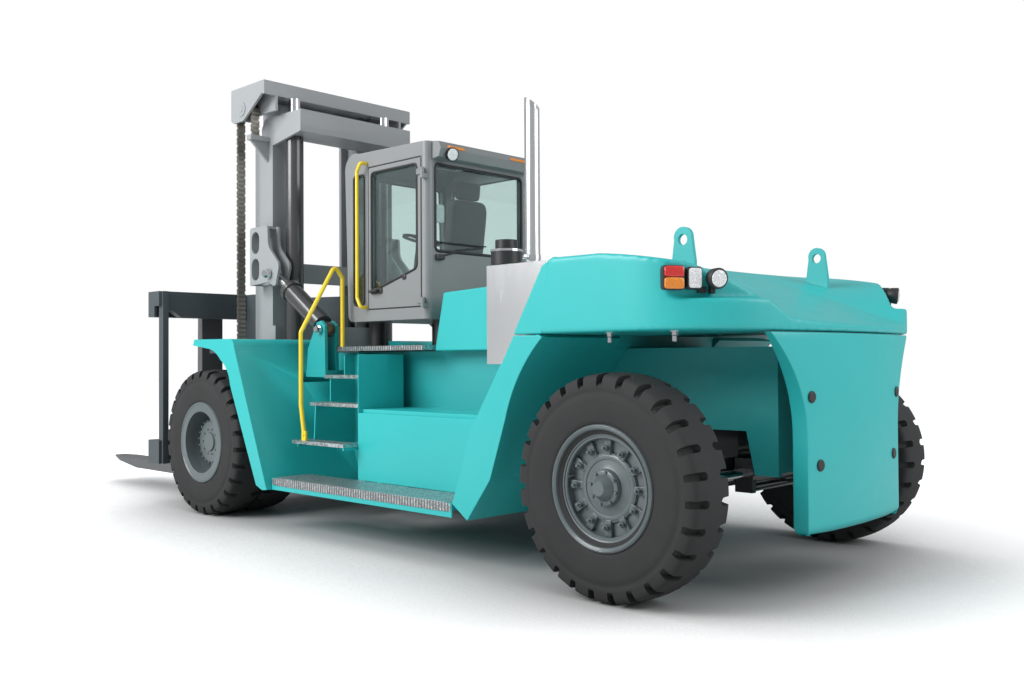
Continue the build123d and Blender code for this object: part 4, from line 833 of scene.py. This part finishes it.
door_line = rounded(DOOR_BACK + 0.008, DOOR_FRONT - 0.008, 1.908, 3.182, 0.02)
door_seals = [tube(on_side(round_corners(door_glass, 0.04), CAB_SIDE_Y + 0.003), 0.010, closed=True),
              tube(on_side(door_line, CAB_SIDE_Y - 0.001), 0.006, closed=True)]
piece("cab_door_seals", joined(*door_seals), body="cab_door")

# %% [markdown]
# The tail lamps stand in the pocket of each rear shoulder, on a rail along its slanting face: a red
# and amber block, a clear block, and a round work lamp that turns down towards the ground.

# %% Lamp materials


def lens_plastic(name, colour, scale):
    """Coloured lamp plastic with fine square prisms moulded behind it."""
    made, tree, body, place = shader(name, colour, 0.12, coat=0.8, coat_rough=0.04)
    prisms = wire(tree, "ShaderNodeTexVoronoi", Vector=place, Scale=scale)
    tint(tree, body, colour, prisms.outputs["Distance"], 0.65, 1.35)
    roughen(tree, body, prisms.outputs["Distance"], 0.08, 0.2)
    bumped(tree, body, prisms.outputs["Distance"], 0.001)
    return made


for name, colour, scale in (("lamp_red", (0.62, 0.02, 0.015), 160.0), ("lamp_amber", (0.85, 0.24, 0.02), 160.0),
                            ("lamp_clear", (0.75, 0.78, 0.80), 120.0)):
    M[name] = lens_plastic(name, colour, scale)
print("lamp plastics done")

# %% [markdown]
# The lamps' places are measured on the pocket's face: along it, out of it and up. One function carries
# any shape from those three axes to the truck, and mirrors it for the other side.

# %% Tail lamps
FACE_START = np.array([FRAME_X - 0.340, 1.450])
FACE_END = np.array([FRAME_X - 0.740, 0.860])
along = (FACE_END - FACE_START) / np.linalg.norm(FACE_END - FACE_START)
outward = np.array([along[1], -along[0]])
LAMP_Z = 1.905


def on_pocket(shape, s):
    """Carry a shape from its own axes (x along the face, y outward, z up) onto one side's pocket face."""
    points, faces = shape
    flat = FACE_START + points[:, :1] * along + points[:, 1:2] * outward
    return np.concatenate([flat[:, :1], s * flat[:, 1:], points[:, 2:] + LAMP_Z], axis=-1), faces


WORK_LAMP_AIM = (0.15, 1, -0.12)
CASES = [soft_box((0.020, 0.004, -0.062), (0.155, 0.060, 0.082)),
         soft_box((0.168, 0.004, -0.058), (0.262, 0.060, 0.074)),
         soft_box((0.245, 0.004, -0.075), (0.300, 0.024, -0.040)),
         soft_box((0.315, 0.004, -0.080), (0.345, 0.050, -0.030)),
         lathe([(0, 0), (0, 0.040), (0.02, 0.056), (0.070, 0.062), (0.078, 0.058), (0.078, 0)], 28,
               (0.335, 0.022, 0.012), WORK_LAMP_AIM)]
CLEAR = [soft_box((0.176, 0.050, -0.050), (0.254, 0.070, 0.066), 6),
         lathe([(0, 0), (0, 0.050), (0.006, 0.046), (0.010, 0.024), (0.011, 0)], 28, (0.3465, 0.098, 0.003),
               WORK_LAMP_AIM)]
LAMP_PARTS = (("cases", joined(*CASES), "trim_black"),
              ("red", soft_box((0.028, 0.050, 0.014), (0.147, 0.072, 0.076), 6), "lamp_red"),
              ("amber", soft_box((0.028, 0.050, -0.056), (0.147, 0.072, 0.010), 6), "lamp_amber"),
              ("clear", joined(*CLEAR), "lamp_clear"))
for side, s in SIDES:
    for part, shape, finish in LAMP_PARTS:
        piece(f"tail_lamp_{part}_{side}", on_pocket(shape, s), finish=finish)

# %% [markdown]
# The hood's front face and the wheel arch below it share one slanting line. A plain solid is enough
# for that: an outline in the side view, carried across, with its edges rounded by a bevel.

# %% Hood front and arch corner
FRONT_WEDGE = [(0.560, 1.6135), (0.812, 1.6135), (0.553, 2.050), (0.520, 2.070), (0.500, 2.070)]
ARCH_CORNER = [(0.570, 1.6075), (0.815, 1.6075), (0.931, 1.414), (0.850, 1.395), (0.600, 1.560)]
WEDGE_IN, WEDGE_OUT = 0.640, 1.4495
for side, s in SIDES:
    for name, outline in (("hood_front", FRONT_WEDGE), ("arch_corner", ARCH_CORNER)):
        shape = carried([(x + FRAME_X, z) for x, z in outline], s * WEDGE_IN, s * WEDGE_OUT)
        bevelled(piece(f"{name}_{side}", shape, "body_teal", sharp=20), 0.012)

# %% [markdown]
# The counterweight is one casting. Seen from behind it is narrow at the foot and flares towards the
# hood; behind each wheel a hollow leaves room for the steered tyre. Stacked sections show both with one
# width function: the lesser of the flaring side and of what the tyre's whole steering range leaves free.

# %% Counterweight casting
WEIGHT_LOW, WEIGHT_TOP, WEIGHT_FRONT = 0.380, 1.606, -0.745  # heights, and x from the steered axle
FOOT_HALF, FLARE, FLARE_POWER, FLARE_START = 0.640, 0.315, 2.2, 0.950  # half width, and how it grows with height
KINGPIN_Y, KINGPIN_Z = 1.020, 0.685
STEER_MAX = np.radians(56)  # the joint stops at 55
TYRE_END, TYRE_IN, TYRE_OUT = 0.705, 0.162, 0.562  # the tyre's radius and sides from the kingpin, 20 mm clear
TAIL_X, TAIL_RADIUS = -0.900, 4.157  # rear face: its middle, and the radius of its curve in plan


def tail_x(y):
    """The rear face in plan: x = tail + R - sqrt(R^2 - y^2)."""
    return TAIL_X + TAIL_RADIUS - np.sqrt(TAIL_RADIUS ** 2 - np.square(y))


def tyre_reach(x, z):
    """The least y that the steered tyre reaches at x and height z: its plan rectangle, turned over its range."""
    x = np.asarray(x, dtype=float)
    length = np.sqrt(max(TYRE_END ** 2 - (z - KINGPIN_Z) ** 2, 1e-6))
    least = np.full(x.shape, 9.0)
    for turn in np.linspace(0, STEER_MAX, 46):
        corners = np.array([(-length, TYRE_OUT), (-length, TYRE_IN), (length, TYRE_IN)])
        at_x = corners[:, 0] * np.cos(turn) - corners[:, 1] * np.sin(turn)
        at_y = corners[:, 0] * np.sin(turn) + corners[:, 1] * np.cos(turn)
        least = np.minimum(least, np.interp(x, at_x, at_y, left=9.0, right=9.0))
    return KINGPIN_Y + least


def weight_half(x, z):
    """Half width h(x, z) = softmin(side(z), reach of the steered tyre at x and z)."""
    flare = np.clip((z - FLARE_START) / (WEIGHT_TOP - FLARE_START), 0, 1) ** FLARE_POWER
    side = FOOT_HALF + FLARE * flare
    hollow = tyre_reach(x, z)
    return (side + hollow - np.sqrt((side - hollow) ** 2 + 0.01 ** 2)) / 2


def weight_loop(z, inset, count=44):
    """One section at height z, drawn in by inset: rear curve, side with its hollow, front line."""
    corner = 0.7
    for _ in range(12):  # settle on the y where the rear curve meets the side
        corner = 0.5 * corner + 0.5 * weight_half(tail_x(corner), z)
    across_tail = corner * np.sin(np.linspace(0, np.pi / 2, count // 2, endpoint=False))
    along = np.linspace(tail_x(corner), WEIGHT_FRONT, count)
    side = weight_half(along, z)
    back = side[-1] * np.linspace(1, 0, count // 4)[1:]
    half = np.concatenate([np.column_stack([tail_x(across_tail), across_tail]), np.column_stack([along, side]),
                           np.column_stack([np.full(len(back), WEIGHT_FRONT), back])])
    loop = np.concatenate([half, half[-2:0:-1] * (1, -1)])
    for _ in range(4):  # soften the corners
        loop = 0.5 * loop + 0.25 * (np.roll(loop, 1, 0) + np.roll(loop, -1, 0))
    turn = np.roll(loop, -1, 0) - np.roll(loop, 1, 0)
    turn /= np.maximum(np.linalg.norm(turn, axis=1, keepdims=True), 1e-9)
    return loop + inset * np.column_stack([turn[:, 1], -turn[:, 0]])


def weight_surface(foot=0.055, head=0.012):
    """Sections stacked in height, with a quarter round at the foot and a small one at the head."""
    rows = []
    for a in np.linspace(0, np.pi / 2, 7):
        rows.append((WEIGHT_LOW + foot * (1 - np.cos(a)), foot * (1 - np.sin(a))))
    rows += [(z, 0) for z in np.linspace(WEIGHT_LOW + foot, WEIGHT_TOP - head, 36)[1:]]
    for a in np.linspace(0, np.pi / 2, 4)[1:]:
        rows.append((WEIGHT_TOP - head * (1 - np.sin(a)), head * (1 - np.cos(a))))
    loops = [np.insert(weight_loop(z, inset), 2, z, axis=1) for z, inset in rows]
    loops = [loops[0] * (1, 0, 1)] + loops + [loops[-1] * (1, 0, 1)]
    points = np.concatenate(loops) + (FRAME_X, 0, 0)
    return points, quads(len(loops), len(loops[0]), wrap_cols=True)


casting = piece("counterweight_casting", weight_surface(), "body_teal", sharp=50)
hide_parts("counterweight")
print("counterweight", len(casting.data.polygons), "faces")

# %% [markdown]
# Rubber plugs close the lifting and pin holes of the cast counterweight, and bright bolts hold the
# hood down from below.

# %% Plugs and hood bolts
PLUGS = [(0.600, 1.215), (0.520, 0.800), (-0.600, 1.215), (-0.520, 0.800)]
HOOD_BOLT_Y, HOOD_UNDERSIDE = 1.330, 1.613
PLUG_SECTION = [(-0.004, 0), (-0.004, 0.037), (0.006, 0.036), (0.011, 0.030), (0.012, 0)]
plugs = [lathe(PLUG_SECTION, 24, (FRAME_X + tail_x(y), y, z), (-1, y / TAIL_RADIUS, 0)) for y, z in PLUGS]
piece("counterweight_plugs", joined(*plugs))
bolt_places = [(FRAME_X + x, s * HOOD_BOLT_Y, HOOD_UNDERSIDE) for s in (1, -1) for x in (0.10, -0.38)]
below_hood = aimed(bolt_places, (0, 0, -1))
long_stud = turned([(0, 0), (0, 0.014), (0.062, 0.014), (0.066, 0.010), (0.066, 0)], 12)
piece("hood_bolts", joined(repeated(*bolt(0.042), below_hood), repeated(*long_stud, below_hood)), "rod_chrome")

# %% [markdown]
# The driver's seat is a suspension seat: a crowned cushion, a tall back with a headrest, and a bellows
# over the suspension. Each pad is a closed soft form: the outline pulls in between its corners, the
# face is crowned, and two sewn channels run along it.

# %% Driver's seat


def pad(length, width, thick, crown=0.022, channel=0.009, steps=30):
    """A pad lying flat: a superellipsoid, pulled in between corners, crowned, with two sewn channels."""
    points, faces = soft_box((-length / 2, -width / 2, -thick / 2), (length / 2, width / 2, thick / 2), 5.0, steps)
    u, v = points[:, 0] / (length / 2), points[:, 1] / (width / 2)
    pulled = points.copy()
    pulled[:, 0] *= 1 - 0.035 * (1 - v ** 2)
    pulled[:, 1] *= 1 - 0.035 * (1 - u ** 2)
    dome = crown * (1 - u ** 2) * (1 - v ** 2)
    seams = channel * (np.exp(-((v - 0.5) / 0.05) ** 2) + np.exp(-((v + 0.5) / 0.05) ** 2)) * (np.abs(u) < 0.97)
    upper = np.clip(points[:, 2] / (thick / 2), 0, 1)
    pulled[:, 2] += (dome - seams) * upper
    return pulled, faces


def lying(surface, x, z, lean):
    """Turn a pad by lean degrees about y (90 stands it up, facing forward) and carry it to (x, 0, z)."""
    points, faces = surface
    a = np.radians(lean)
    turned_x = points[:, 0] * np.cos(a) + points[:, 2] * np.sin(a)
    turned_z = -points[:, 0] * np.sin(a) + points[:, 2] * np.cos(a)
    return np.column_stack([turned_x + x, points[:, 1], turned_z + z]), faces


def bellows(x, low, high, half, folds=5, steps=48):
    """Rubber folds round a rounded square: radius = half - 0.012 |sin| up the height, closed on top."""
    t = np.linspace(0, 2 * np.pi, steps, endpoint=False)
    ring = np.column_stack([np.cos(t), np.sin(t)])
    ring = np.sign(ring) * np.abs(ring) ** 0.5
    rows = [np.column_stack([np.zeros((steps, 2)), np.full(steps, low)])]
    for h in np.linspace(0, 1, folds * 6 + 1):
        size = half - 0.012 * np.abs(np.sin(h * folds * np.pi))
        rows.append(np.column_stack([ring * size, np.full(steps, low + h * (high - low))]))
    rows.append(np.column_stack([np.zeros((steps, 2)), np.full(steps, high)]))
    return np.concatenate(rows) + (x, 0, 0), quads(len(rows), steps, wrap_cols=True)


SEAT_PADS = {"seat_cushion": (pad(0.46, 0.48, 0.13), 0.385, 2.285, -4),
             "seat_back": (pad(0.56, 0.44, 0.12), 0.190, 2.610, 82),
             "seat_headrest": (pad(0.17, 0.26, 0.10, 0.012, 0.004), 0.160, 2.965, 82)}
for name, (shape, x, z, lean) in SEAT_PADS.items():
    soft = piece(name, lying(shape, CAB_BACK + x, z, lean), "seat_cloth", sharp=180)
    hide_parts("driver_seat")
base = piece("seat_bellows", bellows(CAB_BACK + 0.380, 1.850, 2.226, 0.180), "seat_cloth", sharp=60,
             finish="trim_black")
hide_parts("driver_seat")

# %% [markdown]
# Small cab parts: a monitor on the rear pillar, a wiper on the rear pane, a round work lamp under the
# roof's edge, amber strips, the door's lever and lock. They are simple turned or boxed shapes.

# %% Cab fittings
BACK_X = CAB_BACK - 0.004  # just behind the cab's rear wall
WORK_LAMP = [(0, 0), (0, 0.052), (0.045, 0.060), (0.055, 0.060), (0.058, 0.054), (0.058, 0)]
WORK_GLASS = [(0, 0), (0, 0.050), (0.006, 0.044), (0.009, 0)]
ROOF_AIM = (-1, 0.2, -0.25)
DOOR_Y = CAB_SIDE_Y + 0.002
wiper = [tube([(BACK_X - 0.012, 0.490, 2.330), (BACK_X - 0.016, 0.200, 2.410), (BACK_X - 0.014, -0.020, 2.440)],
              0.008, 8),
         tube([(BACK_X - 0.008, 0.480, 2.455), (BACK_X - 0.008, -0.060, 2.455)], 0.006, 8),
         soft_box((BACK_X - 0.035, 0.450, 2.300), (BACK_X + 0.006, 0.530, 2.350), 8)]
strips = [soft_box((CAB_BACK - 0.113, y, 3.245), (CAB_BACK - 0.092, y + 0.200, 3.270), 6) for y in (0.280, -0.480)]
lever = [soft_box((CAB_BACK + 0.600, DOOR_Y, 2.040), (CAB_BACK + 0.760, DOOR_Y + 0.014, 2.090), 8),
         tube([(CAB_BACK + 0.640, DOOR_Y + 0.010, 2.065), (CAB_BACK + 0.640, DOOR_Y + 0.040, 2.065),
               (CAB_BACK + 0.745, DOOR_Y + 0.042, 2.062)], 0.011, 10)]
lock = lathe([(0, 0), (0, 0.026), (0.008, 0.026), (0.012, 0.020), (0.012, 0)], 24,
             (CAB_BACK + 0.300, DOOR_Y, 2.170), (0, 1, 0))
piece("cab_monitor", soft_box((CAB_BACK + 0.100, 0.330, 2.640), (CAB_BACK + 0.130, 0.500, 2.800), 8),
      finish="lamp_clear")
piece("rear_wiper", joined(*wiper))
piece("cab_work_lamp", lathe(WORK_LAMP, 28, (CAB_BACK - 0.075, 0.430, 3.205), ROOF_AIM))
piece("cab_work_lamp_glass", lathe(WORK_GLASS, 28, (CAB_BACK - 0.1305, 0.441, 3.191), ROOF_AIM),
      finish="lamp_clear")
piece("cab_amber_strips", joined(*strips), finish="lamp_amber")
piece("door_lever", joined(*lever), "cab_grey", "cab_door", finish="trim_black")
piece("door_lock", lock, "cab_grey", "cab_door", finish="trim_black")
print("cab fittings done")

# %% [markdown]
# The running boards are zinc-plated punched sheet laid over a folded tray. The stack is an open tube
# with a dark inside, a band clamp at its foot, and the pre-cleaner's bowl has a bright rim.

# %% Boards, stack and pre-cleaner
board_low, board_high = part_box("running_boards")
BOARD_TOP, BOARD_OUT, BOARD_IN = 0.445, 1.430, 1.056
BOARD_BACK, BOARD_FRONT = board_low.x + 0.004, board_high.x - 0.004
SHEET = 0.004  # the sheet stands this far over the tray
for side, s in SIDES:
    inner, outer = sorted((s * BOARD_IN, s * (BOARD_OUT - SHEET)))
    top = soft_box((BOARD_BACK, inner, BOARD_TOP - 0.001), (BOARD_FRONT, outer, BOARD_TOP + SHEET), 12)
    low, high = sorted((s * (BOARD_OUT - 0.001), s * (BOARD_OUT + SHEET)))
    lip = soft_box((BOARD_BACK, low, BOARD_TOP - 0.062), (BOARD_FRONT, high, BOARD_TOP + SHEET), 12)
    piece(f"running_board_sheet_{side}", joined(top, lip), "galvanised")
STACK_AT = (FRAME_X + 1.050, 1.000, 0)
CLEANER_AT = (FRAME_X + 1.820, 0.480, 0)
piece("stack_inside", lathe([(2.40, 0), (2.40, 0.0485), (3.18, 0.0485), (3.18, 0)], 28, STACK_AT), "stack_steel",
      finish="trim_black")
band = lathe([(2.150, 0.054), (2.150, 0.058), (2.185, 0.058), (2.185, 0.054)], 36, STACK_AT, ring=True)
ears = soft_box((STACK_AT[0] - 0.018, STACK_AT[1] + 0.052, 2.152),
                (STACK_AT[0] + 0.018, STACK_AT[1] + 0.088, 2.183), 8)
piece("stack_clamp", joined(band, ears), "stack_steel", finish="rod_chrome")
bowl_rim = lathe([(2.306, 0.124), (2.306, 0.129), (2.324, 0.129), (2.324, 0.124)], 40, CLEANER_AT, ring=True)
piece("pre_cleaner_rim", bowl_rim, "cleaner_black", finish="rod_chrome")
print("boards, stack and pre-cleaner done")

# %% [markdown]
# Big hexagon nuts hold the pins of the tilt cylinders: one on the mast's side, one on the frame's.

# %% Tilt pin nuts
PIN_NUT_Y = 0.851
for name, place, size, body in (("front", (4.712, 2.298), 0.072, "outer_mast"),
                                ("rear", (3.862, 1.735), 0.060, "chassis")):
    nuts = [repeated(*bolt(size), aimed([(FRAME_X + place[0], s * PIN_NUT_Y, place[1])], (0, s, 0)))
            for s in (1, -1)]
    piece(f"tilt_nuts_{name}", joined(*nuts), "rod_chrome", body)
print("tilt pin nuts done")

# %% [markdown]
# The floor is part of the studio, not of the truck. To the camera it glows a little as well as
# reflecting, so that its lit parts reach white and the shadow under the machine stays grey. That shadow
# is partly painted: how much of the sky a point sees dims the glow and darkens the floor's own colour,
# raised to a power so that the painted shadow is deep.

# %% Floor
FLOOR_WHITE = (0.90, 0.90, 0.90)
FLOOR_GLOW = 0.62
SHADOW_REACH = 4.5  # metres from the floor within which the machine darkens the glow and the floor's colour: painted shadow
SHADOW_POWER = 3.2
floor_mesh = bpy.data.meshes.new("floor")
half = FLOOR_SIZE / 2
corners = [(-half, -half, 0), (half, -half, 0), (half, half, 0), (-half, half, 0)]
floor_mesh.from_pydata(corners, [], [(0, 1, 2, 3)])
floor = stand("floor", floor_mesh)
floor_paint, floor_tree, floor_body, _ = shader("floor_white", FLOOR_WHITE, 0.7)
floor_body.inputs["Specular IOR Level"].default_value = 0.1
rays = floor_tree.nodes.new("ShaderNodeLightPath")
nearness = wire(floor_tree, "ShaderNodeAmbientOcclusion", Distance=SHADOW_REACH)
nearness.samples = 8
# open_sky falls under the machine and paints its shadow into both the glow and the floor's colour
open_sky = maths(floor_tree, "POWER", nearness.outputs["AO"], SHADOW_POWER)
glow = maths(floor_tree, "MULTIPLY", rays.outputs["Is Camera Ray"], remap(floor_tree, open_sky, 0.0, FLOOR_GLOW))
# painted shadow: the floor's own colour darkens where the machine hides the sky
tint(floor_tree, floor_body, FLOOR_WHITE, open_sky, 0.42, 1.0)
floor_body.inputs["Emission Color"].default_value = (1, 1, 1, 1)
floor_tree.links.new(glow, floor_body.inputs["Emission Strength"])
floor_mesh.materials.append(floor_paint)

# %% [markdown]
# Plain display colours are the nearest to the photograph's.

# %% Finish
bpy.context.scene.view_settings.view_transform = "Standard"
